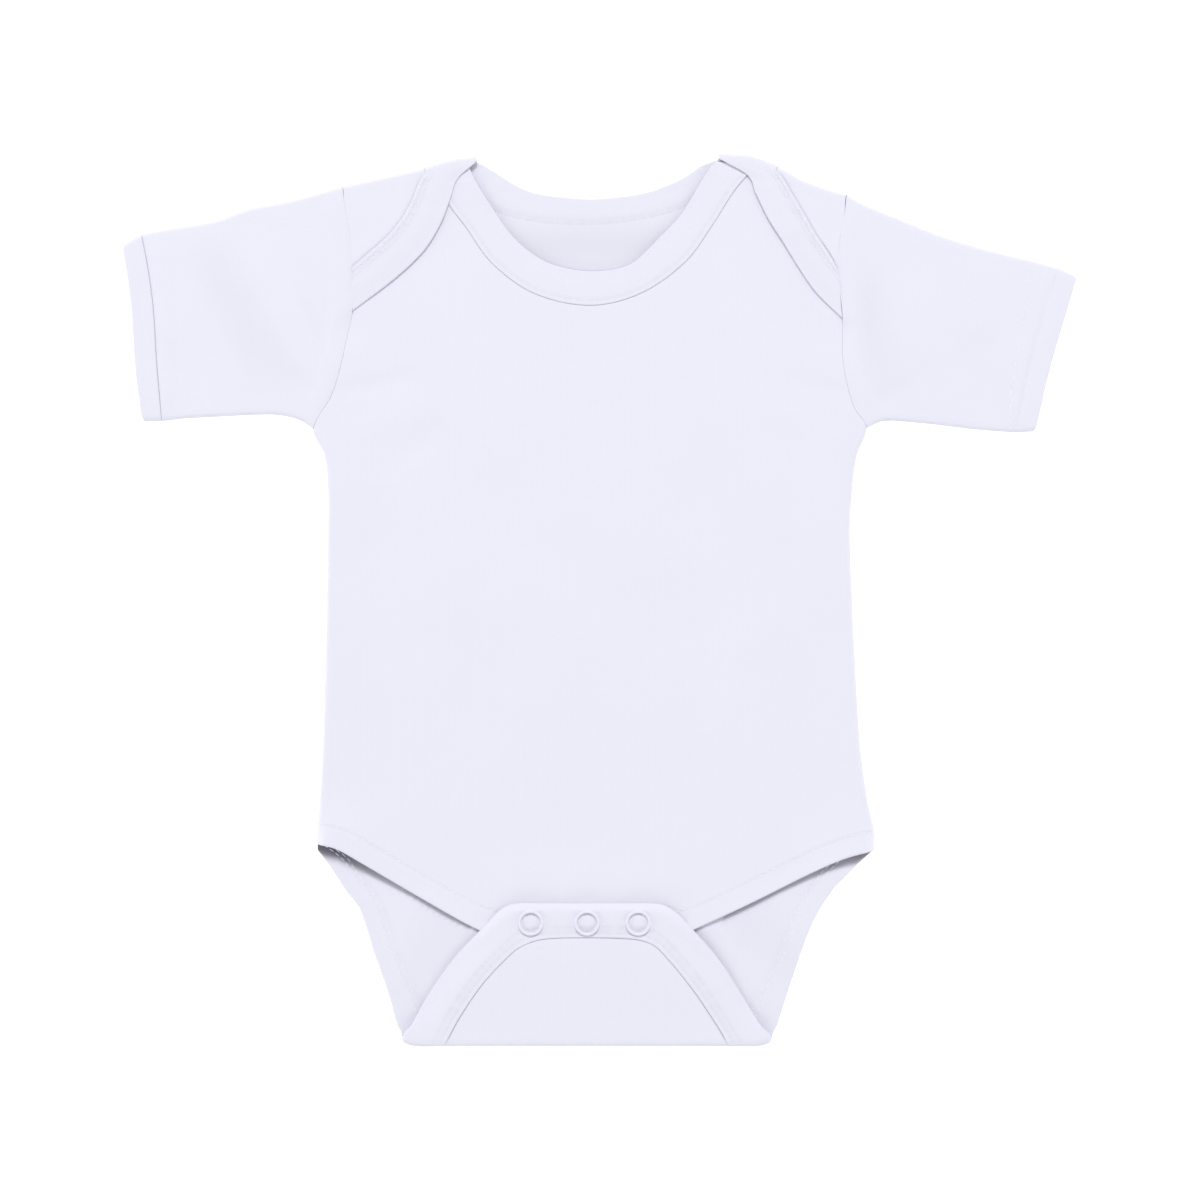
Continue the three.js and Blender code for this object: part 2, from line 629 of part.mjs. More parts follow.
function legBindingBack() {
  const seat = (side) => {
    const rows = rungs(SEAT[side]);
    return rungsAlong(lineThrough(rows), rows.map((_, i) => partAt(rows, i)));
  };
  const [left, right] = SIDES.map(seat);
  const flap = flapRungs();
  const floor = () => BINDING / 2;
  const raised = (x, y) => flapHeight(y) + BINDING_RISE;
  const turns = steps(ROLL_STEPS).slice(1, -1);
  const cloth = new Cloth();
  cloth.grid([
    ...left.map((rung) => bindingRung(rung, floor)),
    ...turns.map((turn) => crotchRung(left[left.length - 1], flap[0], turn)),
    ...flap.map((rung) => bindingRung(rung, raised)),
    ...turns.reverse().map((turn) => crotchRung(right[right.length - 1], flap[flap.length - 1], turn)),
    ...right.reverse().map((rung) => bindingRung(rung, floor)),
  ]);
  return cloth.solid();
}

// One rung of the neck binding at a shoulder fold, level with the fold
function shoulderRung(side, turn) {
  const seam = LAP_SEAM[side] + SEAM_GAP / SHOULDER_LENGTH;
  return BINDING_SECTION.map(({ part, thickness }) => {
    const place = overShoulder(side, mix(seam, 1, part), turn, BINDING);
    return [place[0], place[1], place[2], BINDING * thickness];
  });
}

function rungAtFold(side) {
  return [...FOLD[side].axis(LAP_SEAM[side]), ...FOLD[side].axis(1)];
}

function neckBindingBack() {
  const turns = steps(ROLL_STEPS);
  const raised = () => LAYER_LAP + BINDING_RISE;
  const lap = (side) => {
    const line = lineThrough([rungAtFold(side), ...rungs(LAP[side])]);
    const known = rungsAlong(line, steps(BACK_COLUMNS.length - 1));
    return known.slice(1).map((rung) => bindingRung(rung, raised));
  };
  const neck = lineThrough([rungAtFold("left"), ...rungs(NECK_BACK), rungAtFold("right")]);
  const back = rungsAlong(neck, steps(BACK_MIDDLE)).slice(1, -1);
  const cloth = new Cloth();
  cloth.grid([
    ...lap("left").reverse(),
    ...turns.map((turn) => shoulderRung("left", 1 - turn)),
    ...back.map((rung) => bindingRung(rung, () => BINDING / 2)),
    ...turns.map((turn) => shoulderRung("right", turn)),
    ...lap("right"),
  ]);
  return cloth.solid();
}

// How far in and how high the back is at a distance along it from the side seam
function backCurl(distance) {
  const turn = Math.min(distance / BACK_CURL, Math.PI / 2);
  const along = Math.max(distance - (BACK_CURL * Math.PI) / 2, 0);
  const inward = JERSEY / 2 + BACK_CURL * (1 - Math.sin(Math.PI / 2 - turn)) + along;
  return { inward, rise: BACK_CURL * (1 - Math.sin(turn)) };
}

function backColumns() {
  const last = BACK_COLUMNS[BACK_COLUMNS.length - 1];
  const near = BACK_COLUMNS.map((distance) => ({ distance, part: (distance / last) * BACK_CORNER }));
  const middle = steps(BACK_MIDDLE).slice(1, -1).map((part) => {
    return { distance: last, part: mix(BACK_CORNER, 1 - BACK_CORNER, part) };
  });
  const far = near.map(({ distance, part }) => ({ distance, part: 1 - part })).reverse();
  return [...near, ...middle, ...far];
}

// The lap beyond one shoulder fold, narrowing to its tip on the armhole
function lapPanel(cloth, side, parts) {
  const fold = FOLD[side];
  const armhole = lineThrough([fold.axis(0), ...outlineOf(ARMHOLE, side).slice(1, 4)]);
  const seam = lineThrough([fold.axis(LAP_SEAM[side]), ...seams(LAP[side])]);
  const count = parts.length - 1;
  const rows = steps(count).map((v, j) => {
    const left = count - j;
    return Array.from({ length: left + 1 }, (_, i) => {
      const even = left > 0 ? i / left : 0;
      const known = left > 0 ? parts[i] / parts[left] : 0;
      const across = mix(known, even, smooth(LAP_EVEN, v));
      const straight = blend(armhole(v), seam(v), across);
      const chord = blend(armhole(0), seam(0), across);
      const bow = fold.axis(across * LAP_SEAM[side]).map((value, k) => (value - chord[k]) * (1 - v));
      return [straight[0] + bow[0], straight[1] + bow[1], LAYER_LAP, JERSEY];
    });
  });
  cloth.triangle(side === "left" ? rows : rows.map((row) => [...row].reverse()));
}

function backPanel() {
  const columns = backColumns();
  const neck = lineThrough([
    FOLD.left.axis(LAP_SEAM.left),
    ...seams(NECK_BACK),
    FOLD.right.axis(LAP_SEAM.right),
  ]);
  const leftFold = (part) => FOLD.left.axis(part * LAP_SEAM.left);
  const rightFold = (part) => FOLD.right.axis((1 - part) * LAP_SEAM.right);
  const top = joined(leftFold, neck, rightFold, BACK_CORNER, 1 - BACK_CORNER);
  const backEdge = (side) => rowOf([...bodyEdge(side).slice(0, -1), FOLD[side].axis(0)]);
  const [left, right] = SIDES.map(backEdge);
  const hipLine = (part) => blend(left(0), right(0), part);
  const body = patch(hipLine, top, left, right);
  const [seatLeft, seatRight] = SIDES.map((side) => rowOf(seams(SEAT[side]).reverse()));
  const foldLow = (part) => blend(seatLeft(0), seatRight(0), part);
  const seat = patch(foldLow, hipLine, seatLeft, seatRight);
  const flapSeam = lineThrough(seams(FLAP));
  const [from, to] = [FLAP_CORNER_LEFT, FLAP_CORNER_RIGHT].map((row) => partAt(seams(FLAP), row));
  const foldHigh = (part) => blend(flapSeam(0), flapSeam(1), part);
  const flapTop = stretch(flapSeam, from, to);
  const flap = patch(flapTop, foldHigh, stretch(flapSeam, from, 0), stretch(flapSeam, to, 1));

  const flapRow = (v) => columns.map(({ part }) => {
    const [x, y] = flap(part, v);
    return [x, y, flapHeight(y), JERSEY];
  });
  const foldRow = (turn) => columns.map(({ part }) => {
    const [x, y] = blend(foldLow(part), foldHigh(part), turn);
    const reach = FOLD_RADIUS * Math.sin(turn * Math.PI);
    const z = LAYER_BACK + FOLD_RADIUS * (1 - Math.cos(turn * Math.PI));
    return [x, y - reach, z, JERSEY];
  });
  const seatRow = (v) => columns.map(({ part }) => [...seat(part, v), LAYER_BACK, JERSEY]);
  const bodyRow = (v) => columns.map(({ distance, part }) => {
    const [x, y] = body(part, v);
    const weight = sideWeight(y) * smooth(CURL_RANGE, y);
    const { inward, rise } = backCurl(distance);
    const shift = weight * (part < 0.5 ? 1 : -1) * (inward - distance);
    const moved = distance < BACK_CURLED ? shift : 0;
    return [x + moved, y, LAYER_BACK + weight * rise, JERSEY];
  });

  const cloth = new Cloth();
  cloth.grid([
    ...steps(FLAP_ROWS).map(flapRow),
    ...steps(ROLL_STEPS).slice(1, -1).reverse().map(foldRow),
    ...steps(SEAT.left.length - 1).map(seatRow),
    ...steps(ARMHOLE.length + SIDE.length - 1).slice(1).map(bodyRow),
  ]);
  const lapParts = columns.slice(0, BACK_COLUMNS.length).map(({ part }) => part / BACK_CORNER);
  for (const side of SIDES) {
    const rows = steps(ROLL_STEPS).map((turn) => {
      const row = lapParts.map((part) => overShoulder(side, part * LAP_SEAM[side], turn, JERSEY));
      return side === "left" ? row : row.reverse();
    });
    cloth.grid(rows);
    lapPanel(cloth, side, lapParts);
  }
  return cloth.solid();
}

// Once round a flattened sleeve: which outline it is measured from, how far in, and its height
function sleeveLoop(side) {
  const quarter = steps(QUARTER_STEPS).map((part) => (part * Math.PI) / 2);
  const edge = (from, angles, layer) => angles.map((turn) => ({ from, turn, layer }));
  const between = (parts, layer) => parts.map((part) => ({ part, layer }));
  const back = [...quarter].reverse();
  const armhole = outlineOf(ARMHOLE, side);
  const parts = armhole.slice(1, -1).map((_, i) => partAt(armhole, i + 1));
  return [
    ...edge("top", quarter, 1),
    ...between(parts, 1),
    ...edge("bottom", back, 1),
    ...edge("bottom", quarter.slice(1), -1),
    ...between([...parts].reverse(), -1),
    ...edge("top", back, -1),
  ];
}

const sleeveRows = (side) => SLEEVE[side].map((row) => [row.topX, row.topY, row.bottomX, row.bottomY]);

// A sleeve or its cuff: a flattened tube between two parts of the sleeve's length
function sleeveTube(side, rows, thickness) {
  const section = lineThrough(sleeveRows(side));
  const topLine = (part) => section(part).slice(0, 2);
  const bottomLine = (part) => section(part).slice(2);
  const armhole = lineThrough(outlineOf(ARMHOLE, side));
  const plan = patch(armhole, lineThrough(points(CUFF_EDGE[side])), topLine, bottomLine);
  const cloth = new Cloth();
  cloth.grid(rows.map(({ along, thin }) => {
    const [a, b] = [topLine(along), bottomLine(along)];
    const width = Math.hypot(a[0] - b[0], a[1] - b[1]);
    const low = thickness / 2;
    return sleeveLoop(side).map(({ from, turn, layer, part }) => {
      const high = (y) => {
        const lap = smooth(SLEEVE_CAP_RANGE, y) * (1 - smooth(SLEEVE_EASE, along));
        return mix(ROLL_TOP, LAYER_LAP, lap) + (thickness - JERSEY) / 2;
      };
      if (from) {
        const radius = (high(from === "top" ? a[1] : b[1]) - low) / 2;
        const inward = (thickness / 2 + radius * (1 - Math.cos(turn))) / width;
        const [x, y] = plan(from === "top" ? inward : 1 - inward, along);
        return [x, y, low + radius + layer * radius * Math.sin(turn), thickness * thin];
      }
      const [x, y] = plan(part, along);
      const pillow = SLEEVE_PILLOW * Math.sin(part * Math.PI) * smooth(SLEEVE_EASE, along);
      const fold = softFolds(SLEEVE_FOLDS[side], x, y) * smooth(SLEEVE_FOLD_EASE, along);
      return [x, y, layer > 0 ? high(y) + pillow + fold : low, thickness * thin];
    });
  }));
  return cloth.solid();
}

const cuffSeam = (side) => partAt(sleeveRows(side), SLEEVE[side].length - 2);

function sleeve(side) {
  const gap = SEAM_GAP / SLEEVE_LENGTH;
  const rows = steps(SLEEVE_ROWS).map((part) => {
    return { along: mix(gap, cuffSeam(side) - gap, part), thin: 1 };
  });
  return sleeveTube(side, rows, JERSEY);
}

function cuff(side) {
  const rows = BINDING_SECTION.map(({ part, thickness }) => {
    return { along: mix(cuffSeam(side), 1, part), thin: thickness };
  });
  return sleeveTube(side, rows, BINDING);
}

function ring(profile) {
  const outline = profile.map(([x, y]) => new THREE.Vector2(x, y));
  return new THREE.LatheGeometry(outline, SNAP_SEGMENTS).rotateX(Math.PI / 2);
}

function snapCap() {
  return ring([
    [SNAP_HOLE, 0],
    [SNAP_RADIUS, 0],
    [SNAP_RADIUS, SNAP_RING_HEIGHT - SNAP_ROUND],
    [SNAP_RADIUS - SNAP_ROUND, SNAP_RING_HEIGHT],
    [SNAP_HOLE + SNAP_ROUND, SNAP_RING_HEIGHT],
    [SNAP_HOLE, SNAP_RING_HEIGHT - SNAP_ROUND],
    [SNAP_HOLE, 0],
  ]);
}

function snapStud() {
  return ring([[0, 0], [STUD_RADIUS, 0], [STUD_RADIUS, STUD_HEIGHT], [0, STUD_HEIGHT]]);
}

const bodysuit = new THREE.Group();

function place(name, geometry, finish, x = 0, y = 0, z = 0) {
  const mesh = new THREE.Mesh(geometry, new THREE.MeshStandardMaterial(finish));
  mesh.name = name;
  mesh.position.set(x, y, z);
  bodysuit.add(mesh);
}

place("front_panel", frontPanel(), COTTON);
place("back_panel", backPanel(), COTTON);
place("neck_binding_front", neckBindingFront(), RIB);
place("neck_binding_back", neckBindingBack(), RIB);
place("leg_binding_front", legBindingFront(), RIB);
place("leg_binding_back", legBindingBack(), RIB);
for (const side of SIDES) {
  place(`sleeve_${side}`, sleeve(side), COTTON);
  place(`cuff_${side}`, cuff(side), RIB);
}

const STUD_Z = LAYER_FRONT + BINDING_RISE + BINDING / 2 + SEAM_GAP;
const CAP_Z = FLAP_TOP + BINDING_RISE + BINDING / 2 + SEAM_GAP;
SNAP_X.forEach((x, i) => {
  place(`snap_cap_${i + 1}`, snapCap(), SNAP_ENAMEL, x, SNAP_Y, CAP_Z);
  place(`snap_stud_${i + 1}`, snapStud(), SNAP_ENAMEL, x, SNAP_Y, STUD_Z);
});

export default bodysuit;
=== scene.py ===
import math
from bisect import bisect_right
from collections import namedtuple

import bpy
from mathutils import Matrix, Vector, noise


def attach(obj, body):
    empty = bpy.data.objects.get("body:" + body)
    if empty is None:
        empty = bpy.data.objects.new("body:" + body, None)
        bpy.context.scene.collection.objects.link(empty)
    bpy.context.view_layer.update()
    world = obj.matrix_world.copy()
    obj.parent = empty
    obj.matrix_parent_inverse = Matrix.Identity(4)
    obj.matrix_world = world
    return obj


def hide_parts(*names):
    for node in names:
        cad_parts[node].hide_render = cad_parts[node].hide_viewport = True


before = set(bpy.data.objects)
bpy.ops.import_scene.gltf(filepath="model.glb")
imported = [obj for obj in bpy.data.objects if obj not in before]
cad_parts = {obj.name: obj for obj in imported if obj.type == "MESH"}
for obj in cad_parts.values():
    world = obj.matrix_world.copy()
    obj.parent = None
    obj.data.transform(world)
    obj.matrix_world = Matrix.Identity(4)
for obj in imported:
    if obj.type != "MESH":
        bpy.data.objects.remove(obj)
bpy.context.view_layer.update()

# A short-sleeved baby bodysuit lying flat on its back. Places and sizes are in millimetres, X across the
# body, Y towards the neck, Z up from the surface it lies on, and become metres when a mesh is made.
MM = 0.001

# Cloth and the heights of its layers
JERSEY = 1.0
BINDING = 1.4
SEAM_TUCK = 0.05
EDGE_ROUND = 0.5
THIN_EDGE = 0.12
ARMHOLE_ROUND = 0.2
LAYER_BACK = JERSEY / 2
LAYER_FRONT = 2.2
LAYER_LAP = 3.9
BINDING_RISE = (BINDING - JERSEY) / 2
FOLD_RADIUS = (LAYER_LAP - LAYER_BACK) / 2
FOLD_INSET = FOLD_RADIUS + JERSEY / 2
FOLD_GIRTH = math.pi * FOLD_RADIUS
FLAP_TOP = 5.4
CROTCH_FOLD = -180.5

# Soft roll of cloth along each side seam
BACK_SEAM = 1.5
FRONT_SEAM = 2.1
SIDE_ROLL = 1.4
BACK_CURL = BACK_SEAM - LAYER_BACK
ROLL_TOP = FRONT_SEAM + SIDE_ROLL
ROLL_WIDTH = 26
ROLL_CREST = 3
HIP_LIFT = {"left": 3.0, "right": 2.2}
HIPS = -95

# How far the free edge of each binding dips, the laps away from the neck and beside it
NECK_DIP = 0.4
NECK_END_LIFT = 0.22
LAP_DIP = (0.6, 0.45)
FLAP_SIDE_DIP = 2.2
FLAP_TOP_DIP = 1.95
LEG_EDGE_LIFT = 0.8

# Stretches over which one form of the cloth passes into the next: low and high Y
ARMPIT_RANGE = (58, 76)
NECK_END_RANGE = (158, 170)
LAP_DIP_RANGE = (140, 152)
HIP_RANGE = (-112, -76)
CURL_RANGE = (HIPS, HIPS + 6)
EDGE_RANGE = (HIPS, HIPS + 3)
FLAP_SIDE_RANGE = (-150, -132)
FLAP_RISE_RANGE = (CROTCH_FOLD + 2, -140)
FLAP_DIP_RANGE = (CROTCH_FOLD, CROTCH_FOLD + 16)
CORNER_RANGE = (CROTCH_FOLD, CROTCH_FOLD + 7)
# The same above the tip of the lap
UNDER_LAP_RANGE = (-20, -5)
LAP_STEP_RANGE = (-5, 2)
SLEEVE_CAP_RANGE = (-22, 4)
# The same as distances out from the middle, in from an edge, from a seam or from a fold
HIP_REACH = (72, 110)
# Where the painted shade in the leg openings grows towards the hips
LEG_SHADE_OUTER = (82, 112)
HIP_EDGE = (0, 5)
LOOSE_EDGE = (4, 20)
TURNING_START = (0.3, 2.0)
PAST_LAP_FOLD = (0, 6)
PAST_FOLD = (0, 12)
# The same as parts of a width
PUCKER_PART = (0, 0.2)
INNER_HALF = (0, 0.5)
FLAP_SIDE_PART = (0.3, 1)
OUTER_PART = (0.4, 1)
OUTER_HALF = (0.5, 1)
FLAP_TOP_PART = (0.78, 1)
SEAT_EDGE_PART = (0, 0.04)
SLEEVE_EDGE_PART = (0, 0.12)
# The same as parts of a length
SLEEVE_SEAM_PART = (0, 0.09)
SLEEVE_FOLD_PART = (0.04, 0.15)
SLEEVE_CAP_PART = (0, 0.25)
SLEEVE_PILLOW_PART = (0, 0.3)
LAP_SLACK_PART = (0, 0.15)

# Painted shade in creases, seam grooves, free edges and fold troughs: how wide it spreads, and how dark
CREASE_SHADE_WIDTH = 0.45
ARMHOLE_SEAM_SHADE = 0.06
CUFF_SEAM_SHADE = {"left": 0.3, "right": 0.0}
CUFF_EDGE_SHADE = 0.15
TROUGH_SHADE = 0.03

# How level each cuff is with its sleeve: 0 has a groove between them, 1 has none
CUFF_LEVEL = {"left": 0.0, "right": 1.0}

# Where each lap ends on the armhole, the height of the front just under it, and how thin the lap gets
LAP_TIP = {"left": 118.2, "right": 115.0}
UNDER_TIP = 2.5
LAP_THIN = 0.45

# Snaps
SNAP_Y = -131.8
SNAP_X = [-28.3, -5.3, 15.6]
SNAP_RADIUS = 5.2
SNAP_HOLE = 4.05
SNAP_HEIGHT = 0.75
SNAP_GAP = 0.3
SNAP_BEVEL = 0.32
SNAP_SEGMENTS = 72
SNAP_BEVEL_SEGMENTS = 4

# How a snap marks the cloth: the depth and width of the dent round its rim and of the one inside it,
# then the height of the puff in its middle and where that falls away
RIM_DENT, RIM_WIDTH = 0.1, 1.4
HOLE_DENT, HOLE_WIDTH = 0.35, 0.6
PUFF = 0.25
PUFF_RANGE = (1.5, SNAP_HOLE - 0.4)

# Body edges from the shoulder down to the armpit, then down to the leg opening
ARMHOLE = {
    "left": [(-105.4, 169.5), (-104.4, 162.0), (-102.3, 150.0), (-101.4, 136.3), (-101.3, 118.5),
             (-103.7, 107.0), (-106.3, 95.0), (-110.2, 83.0), (-117.3, 69.9)],
    "right": [(100.9, 166.2), (99.8, 157.0), (97.8, 146.0), (97.0, 135.5), (99.3, 115.0),
              (99.2, 101.0), (100.7, 90.0), (104.2, 78.5), (109.1, 70.3)],
}
SIDE = {
    "left": [(-113.0, 59.5), (-111.6, 46.0), (-111.5, 28.9), (-111.9, 1.4), (-112.5, -25.6),
             (-113.6, -58.4), (-114.8, -80.6), (-115.8, -97.0)],
    "right": [(105.5, 60.0), (103.6, 47.0), (102.5, 28.9), (103.3, 1.4), (104.6, -25.6),
              (106.6, -58.4), (109.5, -80.6), (112.4, -95.0)],
}
FRONT_CORNER = {"left": (-104.7, 164.5), "right": (100.3, 161.0)}
SHOULDER = {
    "left": [(-105.4, 169.5), (-84.5, 174.1), (-72.6, 176.9), (-61.5, 180.2), (-50.4, 181.6)],
    "right": [(100.9, 166.2), (91.0, 169.1), (82.4, 172.4), (73.0, 177.7), (62.3, 181.8),
              (48.5, 182.8)],
}
LAP_SEAM = {"left": 0.605, "right": 0.545}
SHOULDER_LENGTH = 56

# Sections along each sleeve: the point on its top outline, then the one on its bottom outline
SLEEVE = {
    "left": [(-105.4, 169.5, -117.3, 69.9), (-112.8, 167.5, -122.0, 73.2),
             (-125.9, 163.8, -131.5, 75.6), (-144.3, 160.1, -144.3, 75.6),
             (-157.4, 155.4, -157.0, 74.9), (-170.6, 153.1, -170.0, 74.2),
             (-187.6, 149.8, -179.2, 73.2), (-195.6, 145.6, -187.2, 72.9)],
    "right": [(100.9, 166.2, 109.1, 70.3), (107.0, 162.6, 115.5, 73.1),
              (121.0, 156.8, 126.3, 72.8), (136.9, 150.3, 140.0, 71.4),
              (152.5, 145.2, 153.0, 69.8), (168.9, 141.0, 165.0, 68.8),
              (187.4, 136.2, 170.2, 68.5), (195.4, 133.0, 178.2, 68.9)],
}
SLEEVE_LENGTH = 95
CUFF_EDGE = {
    "left": [(-195.6, 145.6), (-193.3, 132.2), (-191.6, 118.0), (-190.4, 98.6), (-189.2, 86.7),
             (-187.2, 72.9)],
    "right": [(195.4, 133.0), (189.5, 113.5), (185.0, 98.3), (181.8, 85.5), (178.2, 68.9)],
}

# Bindings are given by rungs: the point on the seam, then the point across from it on the free edge
NECK_FRONT = [
    (-68.5, 173.8, -53.4, 176.9), (-61.9, 161.7, -50.0, 170.4), (-55.4, 153.1, -44.3, 161.3),
    (-44.1, 137.6, -34.4, 147.8), (-26.7, 125.3, -21.3, 138.4), (-4.1, 120.5, -4.1, 134.9),
    (16.4, 125.3, 11.9, 137.6), (34.9, 138.2, 25.0, 149.4), (45.9, 153.1, 33.6, 158.9),
    (55.4, 167.9, 42.6, 173.6), (63.5, 177.2, 46.8, 179.4),
]
NECK_BACK = [
    (-62.0, 169.3, -46.5, 177.6), (-52.5, 163.0, -40.2, 173.6), (-43.0, 158.6, -33.8, 169.7),
    (-33.5, 155.8, -27.5, 167.1), (-21.7, 154.0, -19.0, 165.6), (-4.0, 153.4, -3.8, 164.4),
    (12.5, 154.8, 11.0, 165.7), (26.0, 157.6, 20.5, 167.6), (36.5, 161.3, 28.5, 170.4),
    (46.0, 166.5, 34.8, 173.5), (56.0, 171.8, 41.0, 177.8),
]
LAP = {
    "left": [(-74.3, 170.5, -58.0, 172.5), (-76.5, 165.0, -61.2, 164.0),
             (-79.5, 159.0, -64.6, 155.0), (-83.5, 153.0, -70.0, 145.5),
             (-88.6, 147.4, -76.5, 138.0), (-95.2, 141.6, -86.5, 129.3),
             (-101.3, 136.3, -101.2, 118.2)],
    "right": [(75.3, 172.0, 60.0, 174.0), (78.8, 166.0, 63.5, 166.5), (83.6, 158.1, 68.9, 155.6),
              (87.5, 151.0, 74.5, 146.8), (92.0, 144.3, 81.5, 135.5), (94.8, 140.0, 88.5, 125.5),
              (97.0, 135.5, 99.2, 115.0)],
}
LEG_FRONT = [
    (-115.6, -90.3, -115.8, -99.8), (-103.5, -93.5, -107.4, -101.9), (-91.9, -100.0, -96.8, -108.0),
    (-69.5, -113.3, -74.0, -121.6), (-46.5, -125.0, -50.4, -134.7), (-33.0, -127.5, -36.5, -139.8),
    (-5.0, -128.2, -5.0, -141.5), (24.0, -127.6, 26.5, -139.8), (36.0, -125.6, 38.5, -134.9),
    (59.0, -115.2, 63.0, -123.5), (84.0, -102.9, 88.2, -110.9), (97.0, -97.3, 100.5, -105.6),
    (112.3, -93.0, 112.0, -102.4),
]
SEAT = {
    "left": [(-115.8, -97.0, -115.6, -102.6), (-103.1, -104.8, -110.9, -108.8),
             (-96.9, -113.0, -104.5, -118.7), (-89.5, -123.0, -98.4, -126.9),
             (-83.7, -140.3, -93.1, -143.3), (-76.3, -157.0, -87.3, -159.7),
             (-64.5, CROTCH_FOLD, -81.4, CROTCH_FOLD)],
    "right": [(112.4, -95.0, 112.3, -102.2), (100.6, -100.3, 106.6, -107.3),
              (94.3, -106.3, 101.0, -113.0), (88.1, -112.7, 95.5, -118.7),
              (78.8, -127.9, 87.3, -132.2), (69.7, -151.5, 79.1, -154.4),
              (53.0, CROTCH_FOLD, 70.8, CROTCH_FOLD)],
}
FLAP = [
    (-62.6, CROTCH_FOLD, -80.4, CROTCH_FOLD), (-57.4, -170.8, -71.5, -163.5),
    (-47.8, -156.8, -59.5, -146.2), (-35.7, -144.1, -46.3, -132.3), (-30.5, -140.9, -40.5, -126.4),
    (-25.0, -139.0, -34.5, -124.1), (-18.0, -138.2, -22.0, -124.0), (-5.7, -138.0, -5.7, -124.0),
    (8.0, -138.2, 11.0, -124.0), (15.6, -138.9, 24.5, -124.3), (20.5, -140.4, 30.5, -127.2),
    (25.0, -143.7, 36.0, -132.6), (37.3, -158.5, 49.3, -148.0), (47.8, -174.0, 62.5, -169.0),
    (51.6, CROTCH_FOLD, 69.4, CROTCH_FOLD),
]
FLAP_CORNERS = (4, 10)

# Soft troughs and ridges: middle X and Y, direction in degrees, size along and across, height
FRONT_FOLDS = [
    (-86.0, 74.0, 20, 34, 7, 0.7), (84.0, 72.0, -24, 30, 7, 0.6),
    (-48.0, -70.0, 58, 60, 16, 0.5), (52.0, -62.0, -60, 55, 15, 0.5),
    (-92.0, 88.0, 12, 26, 4, -0.55), (90.0, 86.0, -14, 22, 4, -0.3),
    (-78.0, 60.0, 34, 22, 5, -0.5), (-20.0, -96.0, 8, 38, 9, -0.25),
    (34.0, -84.0, -20, 34, 8, -0.22), (-6.0, 98.0, 4, 46, 9, -0.2), (-5.0, -116.0, 0, 56, 9, 1.1),
    (6.0, 20.0, 76, 62, 18, 0.3), (-58.0, 10.0, 84, 50, 14, 0.22), (62.0, 6.0, 96, 50, 14, 0.2),
]
SLEEVE_FOLDS = {
    "left": [(-145.6, 114.0, -60, 44, 12, -1.2), (-131.0, 119.0, -62, 36, 7, 0.6),
             (-160.0, 108.0, -70, 36, 8, 0.5), (-115.0, 110.0, -66, 24, 4, -0.5),
             (-172.0, 98.0, -40, 22, 5, -0.25), (-120.0, 88.0, -30, 20, 4, -0.35)],
    "right": [(112.0, 107.0, -78, 34, 10, -0.9), (134.0, 106.0, -72, 40, 8, 0.6),
              (108.0, 112.0, 84, 26, 4, -0.4), (150.0, 100.0, 50, 26, 6, -0.3),
              (120.0, 86.0, 30, 20, 4, -0.35)],
}
SEAT_FOLDS = [(-80.0, -134.0, 64, 22, 5, 0.4), (-60.0, -150.0, 58, 44, 8, 1.2),
              (76.0, -128.0, -62, 22, 5, 0.4), (52.0, -148.0, -58, 44, 8, 1.2)]
SLEEVE_PILLOW = 0.5

# Slackness of loose cloth: a place in the noise, the size of its waves and their height
FRONT_SLACK = (2.0, 24, 0.16)
LAP_SLACK = (5.0, 15, 0.2)
FLAP_SLACK = (9.0, 22, 0.2)
SLEEVE_SLACK = {"left": (11.0, 18, 0.3), "right": (12.0, 18, 0.3)}

# Seam turnings that show as a low ridge on the sleeve, beside the armhole and beside the cuff
TURNING_WIDTH = 8.0
TURNING_HEIGHT = 0.38
TURNING_END = (TURNING_WIDTH - 1, TURNING_WIDTH + 2)

# Rounded corners: the radius of a cuff's and of the crotch binding's, which is drawn out along the fold
CUFF_CORNER = 2.6
CROTCH_CORNER = 3.0
CORNER_SPREAD = 2.6

# Width, length and area of each flat cut, in metres and square metres
CUT = {
    "front_panel": (0.228, 0.302, 0.0585),
    "back_panel": (0.229, 0.430, 0.0760),
    "neck_binding_front": (0.172, 0.0150, 0.0024),
    "neck_binding_back": (0.300, 0.0165, 0.0040),
    "leg_binding_front": (0.262, 0.0130, 0.0028),
    "leg_binding_back": (0.460, 0.0190, 0.0056),
    "sleeve_left": (0.194, 0.084, 0.0137),
    "sleeve_right": (0.192, 0.084, 0.0129),
    "cuff_left": (0.162, 0.010, 0.0015),
    "cuff_right": (0.152, 0.010, 0.0014),
}

# Fineness of the grids: distances in from an edge, counts across and up, and pitches along a binding
FRONT_WIDTH = 230
NEAR_EDGE = [0, 0.08, 0.2, 0.36, 0.6, 1.0, 1.6]
FRONT_NEAR = [0, 0.08, 0.2, 0.36, 0.6, 0.9, 1.3, 1.7, 2.2, 2.8, 3.6, 5, 7, 9, 11.5, 14, 17, 20, 23, 26, 29,
              32.5, 36]
FRONT_LENGTH = 262
FRONT_MIDDLE = 76
FRONT_ROWS = 140
BACK_NEAR = [0, 0.08, 0.2, 0.36, 0.6, 0.85, 1.1, 1.35, 1.57, 3, 5, 7, 9, 11, 13.5, 16, 18.5, 21, 23.5,
             26, 28.5, 31, 34]
BACK_CURLED = 9
BODY_LENGTH = 262
FLAP_LENGTH = 42
BACK_CORNER = 0.17
BACK_MIDDLE = 84
BODY_ROWS = 120
SEAT_ROWS = 72
FLAP_ROWS = 34
FLAP_LAST = 0.97
TURN_STEPS = 12
SLEEVE_ROWS = 46
SLEEVE_ACROSS = 44
QUARTER_STEPS = 6
NECK_PITCH = 0.9
FLAP_PITCH = 1.1
SEAT_PITCH = 1.6

SMOOTH_ANGLE = math.radians(60)
SIDES = ("left", "right")


